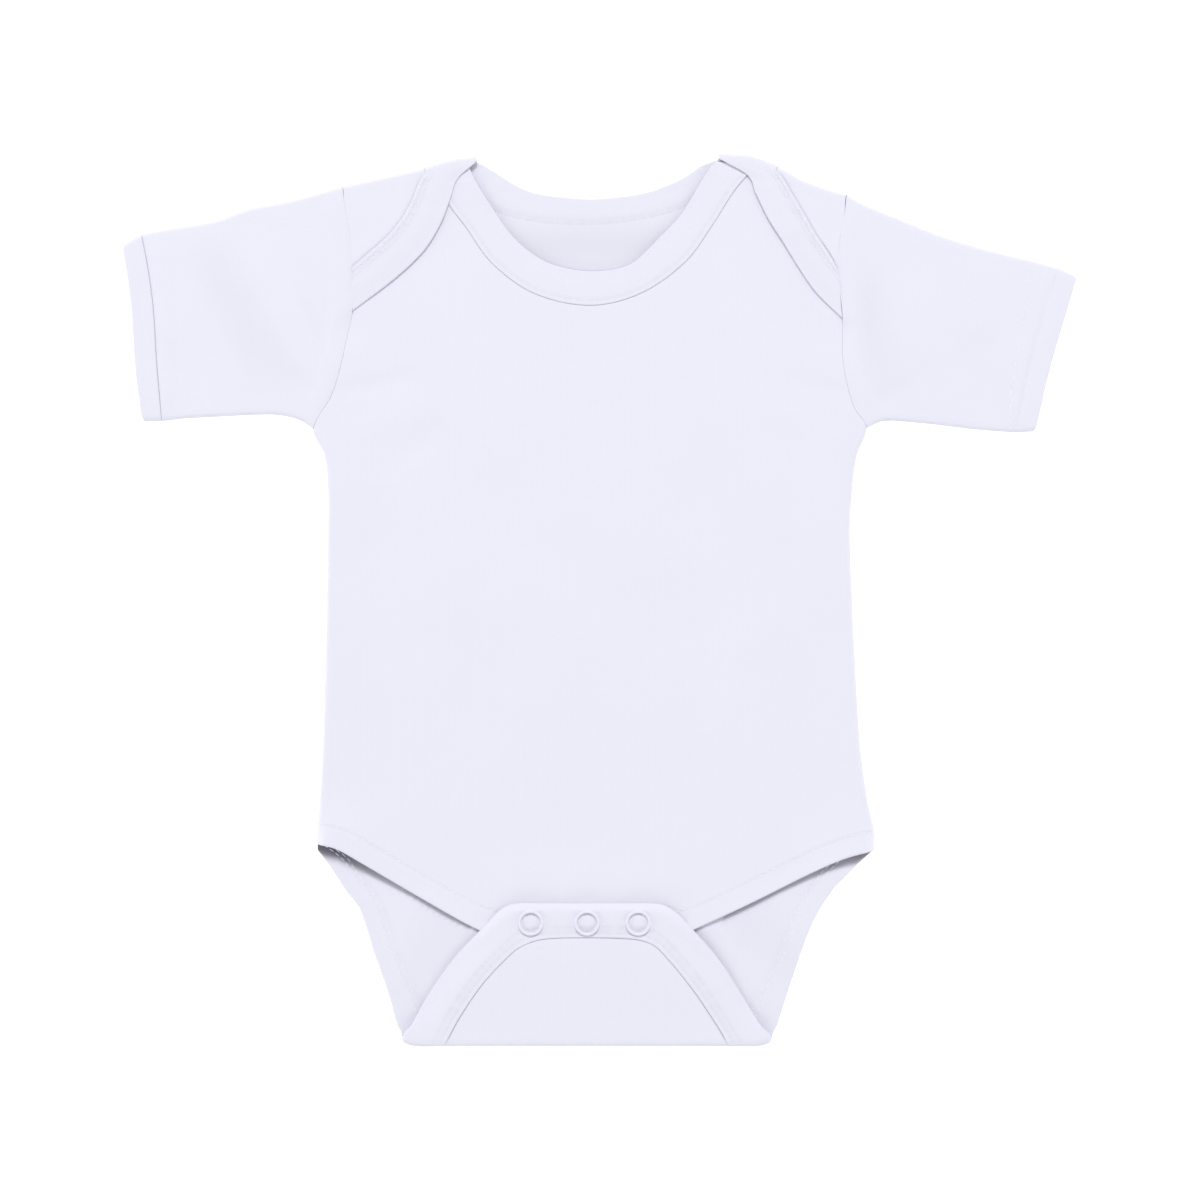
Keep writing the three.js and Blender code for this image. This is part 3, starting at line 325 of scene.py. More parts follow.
def deselect():
    bpy.ops.object.select_all(action="DESELECT")


def mix(a, b, t):
    return a + (b - a) * t


def blend(p, q, t):
    return tuple(a + (b - a) * t for a, b in zip(p, q))


def steps(count):
    return [i / count for i in range(count + 1)]


def smooth(start, end, value):
    t = min(max((value - start) / (end - start), 0.0), 1.0)
    return t * t * (3 - 2 * t)


def graded(count, length):
    """Parts of a length, closer together near its two ends."""
    near = [distance / length for distance in NEAR_EDGE]
    middle = [mix(near[-1], 1 - near[-1], part) for part in steps(count)[1:-1]]
    return near + middle + [1 - part for part in reversed(near)]


def rounded(inside, radius=EDGE_ROUND):
    """Part of the thickness that is left at a distance inside a rounded edge."""
    if inside >= radius:
        return 1.0
    return max(math.sqrt(max(1 - (1 - inside / radius) ** 2, 0)), THIN_EDGE)


def crease_shade(inside):
    """How much of its painted shade a crease still has at a distance from it."""
    return 1 - rounded(inside, CREASE_SHADE_WIDTH)


def corner_lift(inside, radius):
    """How far a rounded corner draws back at a distance inside the edge beside it."""
    if inside >= radius:
        return 0.0
    return radius - math.sqrt(radius ** 2 - (radius - inside) ** 2)


def round_fold(turn):
    """How far out and how high cloth is at a part of its turn round a fold."""
    return FOLD_RADIUS * math.sin(turn * math.pi), FOLD_RADIUS * (1 - math.cos(turn * math.pi))


class Line:
    """A smooth line through rows of numbers, asked for by part of its length or by row."""

    def __init__(self, rows):
        self.rows = rows
        self.at = [0.0]
        for before, row in zip(rows, rows[1:]):
            self.at.append(self.at[-1] + math.hypot(row[0] - before[0], row[1] - before[1]))
        self.length = self.at[-1]

    def slope(self, i, k):
        before, after = max(i - 1, 0), min(i + 1, len(self.rows) - 1)
        return (self.rows[after][k] - self.rows[before][k]) / (self.at[after] - self.at[before])

    def at_length(self, length):
        place = min(max(length, 0.0), self.length)
        i = min(bisect_right(self.at, place), len(self.at) - 1) - 1
        span = self.at[i + 1] - self.at[i]
        t = (place - self.at[i]) / span
        bend = t * t * (3 - 2 * t)
        leave, arrive = t - 2 * t * t + t * t * t, t * t * t - t * t
        return tuple(
            mix(value, self.rows[i + 1][k], bend)
            + span * (leave * self.slope(i, k) + arrive * self.slope(i + 1, k))
            for k, value in enumerate(self.rows[i])
        )

    def __call__(self, part):
        return self.at_length(part * self.length)

    def by_row(self, part):
        place = part * (len(self.rows) - 1)
        i = min(int(place), len(self.rows) - 2)
        return self.at_length(mix(self.at[i], self.at[i + 1], place - i))

    def between(self, first, last):
        """The line from one of its rows to another."""
        return lambda part: self.at_length(mix(self.at[first], self.at[last], part))


def joined(first, middle, last, start, end):
    """Three lines end to end, the middle one from one part of the whole to another."""
    def line(part):
        if part <= start:
            return first(part / start)
        if part >= end:
            return last((part - end) / (1 - end))
        return middle((part - start) / (end - start))
    return line


def patch(near, far, left, right):
    """A surface between four lines: near and far run across it, left and right run up it."""
    corners = near(0), near(1), far(0), far(1)

    def place(u, v):
        across = blend(near(u), far(u), v)
        up = blend(left(v), right(v), u)
        flat = blend(blend(corners[0], corners[1], u), blend(corners[2], corners[3], u), v)
        return tuple(a + b - c for a, b, c in zip(across, up, flat))
    return place


def soft_folds(rows, x, y):
    height = 0.0
    for middle_x, middle_y, turn, size_along, size_across, rise in rows:
        angle = math.radians(turn)
        along = (x - middle_x) * math.cos(angle) + (y - middle_y) * math.sin(angle)
        across = (y - middle_y) * math.cos(angle) - (x - middle_x) * math.sin(angle)
        height += rise * math.exp(-((across / size_across) ** 2) - 4 * (along / size_along) ** 4)
    return height


def slack(x, y, seed, size, height):
    """Slight unevenness of cloth that lies loose."""
    return height * noise.noise(Vector((x / size, y / size, seed)))


# Painted shade on the back inside the leg openings, where the front's edge would shade it: how deep, how
# far below the front's edge, the part of that where it starts to fade, and the height that it stays under.
# Then painted shade in the soft hollows of the back that lie in shade: middle X and Y, direction, size
# along and across, depth
LEG_SHADE_DEPTH = {"left": (0.34, 0.75), "right": (0.34, 0.6)}
LEG_SHADE_REACH = {"left": (3.2, 7.5), "right": (3.4, 5.5)}
LEG_SHADE_START = 0.2
PAINTED_SHADE_TOP = 1.9
SHADED_HOLLOWS = [(-4.0, 145.5, 0, 76, 8, 0.075), (-67.0, -142.0, 55, 34, 8, 0.03),
           (65.0, -136.0, -40, 34, 8, 0.03)]
LEG_EDGE = sorted(rung[2:] for rung in LEG_FRONT)
LEG_OPENING_INNER = 50.4


def shaded(x, y, z):
    """How much shade is painted on the back where the front leaves it open, and in its hollows."""
    if z > PAINTED_SHADE_TOP:
        return 0.0
    shade = soft_folds(SHADED_HOLLOWS, x, y)
    if y > HIPS or abs(x) < LEG_OPENING_INNER:
        return shade
    side = "left" if x < 0 else "right"
    i = min(max(bisect_right(LEG_EDGE, (x, 0)), 1), len(LEG_EDGE) - 1)
    (x0, y0), (x1, y1) = LEG_EDGE[i - 1], LEG_EDGE[i]
    below = mix(y0, y1, min(max((x - x0) / (x1 - x0), 0), 1)) - y
    outer = smooth(*LEG_SHADE_OUTER, abs(x))
    depth, reach = mix(*LEG_SHADE_DEPTH[side], outer), mix(*LEG_SHADE_REACH[side], outer)
    return shade + depth * (1 - smooth(LEG_SHADE_START * reach, reach, below))


class Cloth:
    """Cloth is gathered as the middle of its thickness, then given its two faces and its edges.

    A place is x, y, z, its thickness, where it is on the flat cut, and how much shade is painted in its
    crease."""

    def __init__(self):
        self.places = []
        self.found = {}
        self.faces = []

    def add(self, place):
        key = tuple(round(value, 3) for value in place[:3])
        if key not in self.found:
            self.found[key] = len(self.places)
            self.places.append(place)
        return self.found[key], place[4:6]

    def face(self, corners):
        kept = [corner for i, corner in enumerate(corners) if corner[0] != corners[i - 1][0]]
        if len(kept) > 2:
            self.faces.append(kept)

    def grid(self, rows):
        known = [[self.add(place) for place in row] for row in rows]
        for below, above in zip(known, known[1:]):
            for i in range(1, len(above)):
                self.face([below[i - 1], below[i], above[i], above[i - 1]])

    def triangle(self, rows):
        """Rows that each hold one place less than the row before."""
        known = [[self.add(place) for place in row] for row in rows]
        for below, above in zip(known, known[1:]):
            for i in range(len(above)):
                self.face([below[i], below[i + 1], above[i]])
                if i + 1 < len(above):
                    self.face([below[i + 1], above[i + 1], above[i]])

    def measure(self):
        """The middle points and the way out at each."""
        self.where = [Vector(place[:3]) for place in self.places]
        self.out = [Vector() for _ in self.places]
        for face in self.faces:
            corners = [self.where[i] for i, _ in face]
            way = (corners[2] - corners[0]).cross(corners[-1] - corners[1])
            for i, _ in face:
                self.out[i] += way
        for way in self.out:
            way.normalize()

    def above(self, place):
        """Where a stitch lies on the upper face over one of the places given."""
        i, _ = self.add(place)
        spot = self.where[i] + self.out[i] * (self.places[i][3] / 2 + STITCH_LIFT)
        spot.z = max(spot.z, STITCH_HEIGHT / 2)
        return spot

    def piece(self, name, material, slot):
        """Makes the mesh that stands for a node, with its flat cut as its UV map."""
        self.measure()
        count = len(self.places)
        points = [
            (self.where[i] + self.out[i] * (side * place[3] / 2)) * MM
            for side in (1, -1) for i, place in enumerate(self.places)
        ]
        edges = {}
        for face in self.faces:
            for a, b in zip(face, face[1:] + face[:1]):
                edges[(a[0], b[0])] = (a[1], b[1])
        faces, flat = [], []
        for face in self.faces:
            faces.append([i for i, _ in face])
            flat += [uv for _, uv in face]
            faces.append([i + count for i, _ in reversed(face)])
            flat += [uv for _, uv in reversed(face)]
        for (a, b), (uv_a, uv_b) in edges.items():
            if (b, a) not in edges:
                faces.append([b, a, a + count, b + count])
                flat += [uv_b, uv_a, uv_a, uv_b]
        mesh = bpy.data.meshes.new(name)
        mesh.from_pydata(points, [], faces)
        layer = mesh.uv_layers.new(name="cut")
        for corner, (u, v) in zip(layer.data, flat):
            corner.uv = (u * MM, v * MM)
        # The tone attribute holds the painted shade: creases, seams and edges, and the leg openings and
        # hollows of the back
        tone = mesh.attributes.new("tone", "FLOAT", "POINT")
        crease_shades = [sum(place[6:]) for place in self.places] * 2
        shades = [(1 - crease_shade) * (1 - shaded(*(point / MM))) for crease_shade, point in zip(crease_shades, points)]
        tone.data.foreach_set("value", shades)
        mesh.materials.append(material)
        made = bpy.data.objects.new(name + "_cloth", mesh)
        bpy.context.collection.objects.link(made)
        deselect()
        made.select_set(True)
        bpy.context.view_layer.objects.active = made
        bpy.ops.object.shade_smooth_by_angle(angle=SMOOTH_ANGLE)
        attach(made, "root")
        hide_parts(name)


HELD = {name: "laid" for name in CUT}
HELD["back_panel"] = "folded"
HELD["leg_binding_back"] = "folded"
HELD["neck_binding_back"] = "folded"
RESTS_ON = {name: [] for name in CUT}
RESTS_ON["front_panel"] = ["back_panel"]
RESTS_ON["neck_binding_front"] = ["back_panel"]
RESTS_ON["leg_binding_front"] = ["back_panel"]


# Edges and folds of the body

BODY_EDGE = {side: Line((ARMHOLE[side] + SIDE[side])[::-1]) for side in SIDES}
ARMPIT = len(SIDE["left"])
ARMHOLE_LINE = {side: BODY_EDGE[side].between(len(BODY_EDGE[side].rows) - 1, ARMPIT) for side in SIDES}


def seams(rungs):
    return [rung[:2] for rung in rungs]


# Part of a shoulder's length to each side, over which its direction is taken
FOLD_STEP = 0.05


class ShoulderFold:
    """The middle line of a shoulder fold, from the armhole to the neck, and the way out across it."""

    def __init__(self, side):
        self.outline = Line(SHOULDER[side])
        self.sign = 1 if side == "left" else -1

    def outward(self, part):
        a, b = self.outline(part - FOLD_STEP), self.outline(part + FOLD_STEP)
        length = math.hypot(b[0] - a[0], b[1] - a[1])
        return -self.sign * (b[1] - a[1]) / length, self.sign * (b[0] - a[0]) / length

    def axis(self, part):
        out = self.outward(part)
        return tuple(value - way * FOLD_INSET for value, way in zip(self.outline(part), out))

    def over(self, part, turn, thickness):
        """Places round the fold, from the back layer at turn 0 up to the lap at 1."""
        x, y = self.axis(part)
        out = self.outward(part)
        reach, rise = round_fold(turn)
        return x + out[0] * reach, y + out[1] * reach, thickness / 2 + rise


FOLD = {side: ShoulderFold(side) for side in SIDES}


def side_weight(y):
    """1 beside the side seams, 0 beside the armholes."""
    return 1 - smooth(*ARMPIT_RANGE, y)


def front_roll(distance):
    """How far in from the outline, and how high, the front is at a distance from the side seam."""
    turn = min(distance / SIDE_ROLL, math.pi / 2)
    along = max(distance - SIDE_ROLL * math.pi / 2, 0)
    inward = JERSEY / 2 + SIDE_ROLL * (1 - math.cos(turn)) + along
    return inward, FRONT_SEAM + SIDE_ROLL * math.sin(turn)


def armhole_level(side, y):
    """Height of the front beside the armhole, low under the tip of the lap."""
    return mix(ROLL_TOP, UNDER_TIP, smooth(*UNDER_LAP_RANGE, y - LAP_TIP[side]))


def front_height(distance, x, y):
    """Height of the front at a place, and at a distance from its nearer side."""
    half = "left" if x < 0 else "right"
    side = mix(front_roll(distance)[1], LAYER_FRONT, smooth(ROLL_CREST, ROLL_WIDTH, distance))
    armhole = mix(armhole_level(half, y), LAYER_FRONT, smooth(0, ROLL_WIDTH, distance))
    hip = (1 - smooth(*HIP_RANGE, y)) * smooth(*HIP_REACH, abs(x)) * smooth(*HIP_EDGE, distance)
    level = mix(armhole, side, side_weight(y)) + HIP_LIFT[half] * hip
    loose = smooth(*LOOSE_EDGE, distance) * slack(x, y, *FRONT_SLACK)
    return level + loose + soft_folds(FRONT_FOLDS, x, y)


def front_columns(y):
    """Columns across the front, each with its distance from the nearer side and part of the width."""
    weight = side_weight(y)
    corner = FRONT_NEAR[-1]
    near = []
    for distance in FRONT_NEAR:
        inward = mix(distance, front_roll(distance)[0], weight) if distance < corner else corner
        near.append((distance, inward / FRONT_WIDTH))
    start = corner / FRONT_WIDTH
    middle = [(ROLL_WIDTH, mix(start, 1 - start, part)) for part in steps(FRONT_MIDDLE)[1:-1]]
    return near + middle + [(distance, 1 - part) for distance, part in reversed(near)]


def front_panel():
    corner = FRONT_NEAR[-1] / FRONT_WIDTH
    legs = seams(LEG_FRONT)
    edges = []
    for side, hip in zip(SIDES, (legs[0], legs[-1])):
        edges.append(Line([hip] + BODY_EDGE[side].rows[1:-1] + [FRONT_CORNER[side]]).by_row)
    left, right = edges
    scoop = Line(seams(NECK_FRONT))
    top = joined(lambda part: blend(left(1), scoop(0), part), scoop,
                 lambda part: blend(scoop(1), right(1), part), corner, 1 - corner)
    panel = patch(Line(legs), top, left, right)
    cloth = Cloth()
    rows = []
    for v in graded(FRONT_ROWS, FRONT_LENGTH):
        from_top = (1 - v) * FRONT_LENGTH
        row = []
        for distance, part in front_columns(left(v)[1]):
            x, y = panel(part, v)
            radius = mix(ARMHOLE_ROUND, EDGE_ROUND, side_weight(y))
            thickness = JERSEY * min(rounded(from_top), rounded(distance, radius))
            # Painted shade in the groove of the neck seam and along the armhole seam
            painted_shade = max(NECK_BAND.seam * crease_shade(from_top), ARMHOLE_SEAM_SHADE * crease_shade(distance))
            row.append((x, y, front_height(distance, x, y), thickness, x, y, painted_shade))
        rows.append(row)
    cloth.grid(rows)
    return cloth


# Bindings

ROUND = BINDING / 2
ACROSS = [0, 0.012, 0.03, 0.055, 0.09, 0.14, 0.2, 0.26, 0.32, 0.4, 0.5, 0.6, 0.7, 0.78, 0.85, 0.9, 0.935,
          0.962, 0.982, 1]


# How each binding meets its panel: 1 is level with it and 0 has a groove between, how much shade is
# painted in the groove and along the free edge, the part of its thickness left there, how far in the free
# edge starts to thin, and its sewn rows with their depth
Band = namedtuple("Band", "level seam edge thin taper rows")
NECK_BAND = Band(0.0, 0.75, 0.6, 1.0, 0.6, ((0.16, 0.18),))
LAP_BAND = Band(0.0, 0.6, 0.25, 0.65, 0.6, ((0.14, 0.2), (0.26, 0.12)))
BACK_NECK_BAND = Band(1.0, 0.0, 0.0, 1.0, 0.7, ((0.06, 0.16), (0.2, 0.1)))
SHOULDER_BAND = Band(0.0, 0.4, 0.0, 1.0, 0.4, ())
LEG_BAND = Band(1.0, 0.0, 0.2, 1.0, 0.7, ((0.08, 0.1),))
SEAT_BAND = Band(1.0, 0.0, 0.0, 1.0, 0.7, ((0.16, 0.05),))
FLAP_BAND = Band(0.0, 0.7, 0.1, 0.55, 2.4, ((0.16, 0.22), (0.3, 0.18)))

# Sewn rows: how much shade is painted in them, how wide, and the length of their unevenness. Then how a
# binding puckers: how high, and the length and the part of its width of one pucker
ROW_SHADE = 0.45
ROW_WIDTH = 0.6
ROW_EVEN = 0.7
ROW_UNEVEN = 1.3
PUCKER = 0.1
PUCKER_LENGTH = 3.4
PUCKER_ACROSS = 1.5
# Where in the noise the rows and the puckers are looked up
ROW_NOISE = 3.0
PUCKER_NOISE = 7.0


def between_bands(first, second, t):
    return Band(*blend(first[:5], second[:5], t), (first if t < 0.5 else second).rows)


def binding_row(rung, height, along, band):
    """One rung of a binding, tucked a little way over the panel, at heights that a function gives."""
    seam, edge = rung[:2], rung[2:]
    width = math.hypot(edge[0] - seam[0], edge[1] - seam[1])
    row = []
    for part in ACROSS:
        inside, outside = part * width, (1 - part) * width
        x, y = blend(seam, edge, mix(-SEAM_TUCK / width, 1, part))
        full = BINDING * mix(1, band.thin, smooth(*OUTER_PART, part))
        full -= band.level * (full - JERSEY) * (1 - smooth(*INNER_HALF, part))
        lower = band.level * (BINDING - full) / 2
        round_seam = mix(rounded(inside, ROUND), 1, band.level)
        thickness = full * min(round_seam, rounded(outside, band.taper))
        # Painted shade in the groove at the seam, under the free edge and in the sewn rows
        painted_shade = band.seam * crease_shade(inside) + band.edge * crease_shade(outside)
        for middle, depth in band.rows:
            near = math.exp(-(((part - middle) * width / ROW_WIDTH) ** 2))
            uneven = ROW_EVEN + noise.noise(Vector((along / ROW_UNEVEN, middle, ROW_NOISE)))
            thickness -= depth * near
            painted_shade += ROW_SHADE * depth * near * uneven
        pucker = noise.noise(Vector((along / PUCKER_LENGTH, part * PUCKER_ACROSS, PUCKER_NOISE)))
        rise = PUCKER * pucker * smooth(*PUCKER_PART, part) - lower
        z = max(height(x, y, part) + rise, thickness / 2)
        row.append((x, y, z, thickness, along, inside, painted_shade))
    return row


def spaced(line, pitch):
    """Rungs along a line at an even pitch, each with its distance along it."""
    count = max(round(line.length / pitch), 1)
    return [(line(part), part * line.length) for part in steps(count)]


def neck_binding_front():
    line = Line(NECK_FRONT)
    cloth = Cloth()

    def height(x, y, part):
        dip = NECK_DIP * smooth(*OUTER_HALF, part)
        return LAYER_FRONT + BINDING_RISE + mix(-dip, NECK_END_LIFT, smooth(*NECK_END_RANGE, y))

    rows = [binding_row(rung, height, along, NECK_BAND) for rung, along in spaced(line, NECK_PITCH)]
    cloth.grid(rows)
    return cloth, rows


def leg_binding_front():
    line = Line(LEG_FRONT)
    cloth = Cloth()
    rows = []
    for distance, part in front_columns(LEG_FRONT[0][1]):
        def height(x, y, part, distance=distance):
            lift = LEG_EDGE_LIFT * smooth(*OUTER_PART, part)
            return front_height(distance, x, y) + BINDING_RISE + lift
        rows.append(binding_row(line(part), height, part * line.length, LEG_BAND))
    cloth.grid(rows)
    return cloth, rows


def flap_height(y):
    return mix(LAYER_LAP, FLAP_TOP, smooth(*FLAP_RISE_RANGE, y))


def on_floor(x, y, part):
    """Height of a binding that lies on the floor."""
    return BINDING / 2


def crotch_row(below, above, turn, along):
    """A rung of the binding as it turns round the crotch fold."""
    reach, rise = round_fold(turn)
    bare = between_bands(SEAT_BAND, FLAP_BAND, turn)._replace(rows=(), thin=1.0, taper=ROUND)
    row = binding_row(blend(below, above, turn), lambda x, y, part: BINDING / 2 + rise, along, bare)
    return [(place[0], place[1] - reach, *place[2:]) for place in row]


def round_corners(row):
    """Draws a rung back where the free edge turns round the crotch fold."""
    width = row[-1][5]
    made = []
    for x, y, *others in row:
        near = 1 - smooth(*CORNER_RANGE, y)
        back = corner_lift((width - others[3]) / CORNER_SPREAD, CROTCH_CORNER)
        made.append((x, y + near * back, *others))
    return made


def snap_press(x, y):
    """Cloth pressed down under each snap ring and puffed up inside it."""
    rise = 0.0
    for snap_x in SNAP_X:
        away = math.hypot(x - snap_x, y - SNAP_Y)
        rise -= RIM_DENT * math.exp(-(((away - SNAP_RADIUS) / RIM_WIDTH) ** 2))
        rise -= HOLE_DENT * math.exp(-(((away - SNAP_HOLE) / HOLE_WIDTH) ** 2))
        rise += PUFF * (1 - smooth(*PUFF_RANGE, away))
    return rise


def leg_binding_back():
    seat = {side: Line(SEAT[side]) for side in SIDES}
    flap = Line(FLAP)
    turns = steps(TURN_STEPS)[1:-1]

    def raised(x, y, part):
        side = FLAP_SIDE_DIP * smooth(*FLAP_SIDE_PART, part)
        top = FLAP_TOP_DIP * smooth(*FLAP_TOP_PART, part)
        dip = mix(side, top, smooth(*FLAP_SIDE_RANGE, y)) * smooth(*FLAP_DIP_RANGE, y)
        return flap_height(y) + BINDING_RISE + snap_press(x, y) - dip

    rows = []
    for rung, along in spaced(seat["left"], SEAT_PITCH):
        rows.append(binding_row(rung, on_floor, along, SEAT_BAND))
    along = seat["left"].length
    for turn in turns:
        rows.append(crotch_row(SEAT["left"][-1], FLAP[0], turn, along + turn * FOLD_GIRTH))
    along += FOLD_GIRTH
    for rung, further in spaced(flap, FLAP_PITCH):
        past_fold = smooth(*PAST_FOLD, min(further, flap.length - further))
        band = between_bands(FLAP_BAND._replace(thin=1.0, taper=ROUND), FLAP_BAND, past_fold)
        rows.append(binding_row(rung, raised, along + further, band))
    along += flap.length
    for turn in reversed(turns):
        rows.append(crotch_row(SEAT["right"][-1], FLAP[-1], turn, along + (1 - turn) * FOLD_GIRTH))
    along += FOLD_GIRTH
    for rung, further in reversed(spaced(seat["right"], SEAT_PITCH)):
        rows.append(binding_row(rung, on_floor, along + seat["right"].length - further, SEAT_BAND))
    rows = [round_corners(row) for row in rows]
    cloth = Cloth()
    cloth.grid(rows)
    return cloth, rows


def shoulder_row(side, turn, along):
    """A rung of the neck binding round a shoulder fold."""
    seam = LAP_SEAM[side]
    width = (1 - seam) * FOLD[side].outline.length
    row = []
    for part in ACROSS:
        inside, outside = part * width, (1 - part) * width
        thickness = BINDING * min(rounded(inside, ROUND), rounded(outside, SHOULDER_BAND.taper))
        x, y, z = FOLD[side].over(mix(seam - SEAM_TUCK / SHOULDER_LENGTH, 1, part), turn, BINDING)
        # The last number is the shade painted in the groove at the seam
        row.append((x, y, z, thickness, along, inside, SHOULDER_BAND.seam * crease_shade(inside)))
    return row


def fold_rung(side):
    """The rung of the neck binding along the line of a shoulder fold."""
    return FOLD[side].axis(LAP_SEAM[side]) + FOLD[side].axis(1)


def lap_row(rung, along, further):
    """A rung of the neck binding on a lap, at a distance past the shoulder fold."""
    past_fold = smooth(*PAST_LAP_FOLD, further)

    def height(x, y, part):
        dip = mix(*LAP_DIP, smooth(*LAP_DIP_RANGE, y)) * past_fold
        return LAYER_LAP + BINDING_RISE - dip * smooth(*OUTER_HALF, part)

    return binding_row(rung, height, along, between_bands(SHOULDER_BAND, LAP_BAND, past_fold))


def neck_binding_back():
    laps = {side: Line([fold_rung(side)] + LAP[side]) for side in SIDES}
    neck = Line([fold_rung("left")] + NECK_BACK + [fold_rung("right")])
    turns = steps(TURN_STEPS)
    rows = []
    for rung, further in reversed(spaced(laps["left"], NECK_PITCH)[1:]):
        rows.append(lap_row(rung, laps["left"].length - further, further))
    along = laps["left"].length
    for turn in turns:
        rows.append(shoulder_row("left", 1 - turn, along + turn * FOLD_GIRTH))
    along += FOLD_GIRTH
    for rung, further in spaced(neck, NECK_PITCH)[1:-1]:
        past_fold = smooth(*PAST_FOLD, min(further, neck.length - further))
        band = between_bands(SHOULDER_BAND, BACK_NECK_BAND, past_fold)
        rows.append(binding_row(rung, on_floor, along + further, band))
    along += neck.length
    for turn in turns:
        rows.append(shoulder_row("right", turn, along + turn * FOLD_GIRTH))
    along += FOLD_GIRTH
    for rung, further in spaced(laps["right"], NECK_PITCH)[1:]:
        rows.append(lap_row(rung, along + further, further))
    cloth = Cloth()
    cloth.grid(rows)
    return cloth, rows


# Back

def back_curl(distance):
    """How far in and how high the back is at a distance along it from the side seam."""
    turn = min(distance / BACK_CURL, math.pi / 2)
    along = max(distance - BACK_CURL * math.pi / 2, 0)
    inward = JERSEY / 2 + BACK_CURL * (1 - math.cos(turn)) + along
    return inward, BACK_CURL * (1 - math.sin(turn))


def back_columns():
    last = BACK_NEAR[-1]
    near = [(distance, distance / last * BACK_CORNER) for distance in BACK_NEAR]
    middle = [(last, mix(BACK_CORNER, 1 - BACK_CORNER, part)) for part in steps(BACK_MIDDLE)[1:-1]]
    return near + middle + [(distance, 1 - part) for distance, part in reversed(near)]


def lap_panel(cloth, side, parts):
    """The lap beyond one shoulder fold, narrowing to its tip on the armhole."""
    fold = FOLD[side]
    armhole = Line([fold.axis(0)] + ARMHOLE[side][1:4])
    seam = Line([fold.axis(LAP_SEAM[side])] + seams(LAP[side]))
    count = len(parts) - 1
    rows = []
    for j, v in enumerate(steps(count)):
        left = count - j
        row = []
        for i in range(left + 1):
            even = i / left if left else 0.0
            known = parts[i] / parts[left] if left else 0.0
            across = mix(known, even, smooth(*INNER_HALF, v))
            straight = blend(armhole(v), seam(v), across)
            chord = blend(armhole(0), seam(0), across)
            bow = [(a - b) * (1 - v) for a, b in zip(fold.axis(across * LAP_SEAM[side]), chord)]
            x, y = straight[0] + bow[0], straight[1] + bow[1]
            z = LAYER_LAP + smooth(*LAP_SLACK_PART, v) * slack(x, y, *LAP_SLACK)
            mirrored = 2 * fold.axis(0)[1] - y + FOLD_GIRTH
            thickness = JERSEY * (LAP_THIN if i == left and j else 1.0)
            row.append((x, y, z, thickness, x, mirrored))
        rows.append(row)
    cloth.triangle(rows if side == "left" else [row[::-1] for row in rows])


def shoulder_turn(cloth, side, parts):
    """The cloth round one shoulder fold, from the back up to the lap."""
    fold = FOLD[side]
    rows = []
    for turn in steps(TURN_STEPS):
        row = []
        for part in parts:
            x, y, z = fold.over(part * LAP_SEAM[side], turn, JERSEY)
            row.append((x, y, z, JERSEY, x, fold.axis(0)[1] + turn * FOLD_GIRTH))
        rows.append(row if side == "left" else row[::-1])
    cloth.grid(rows)


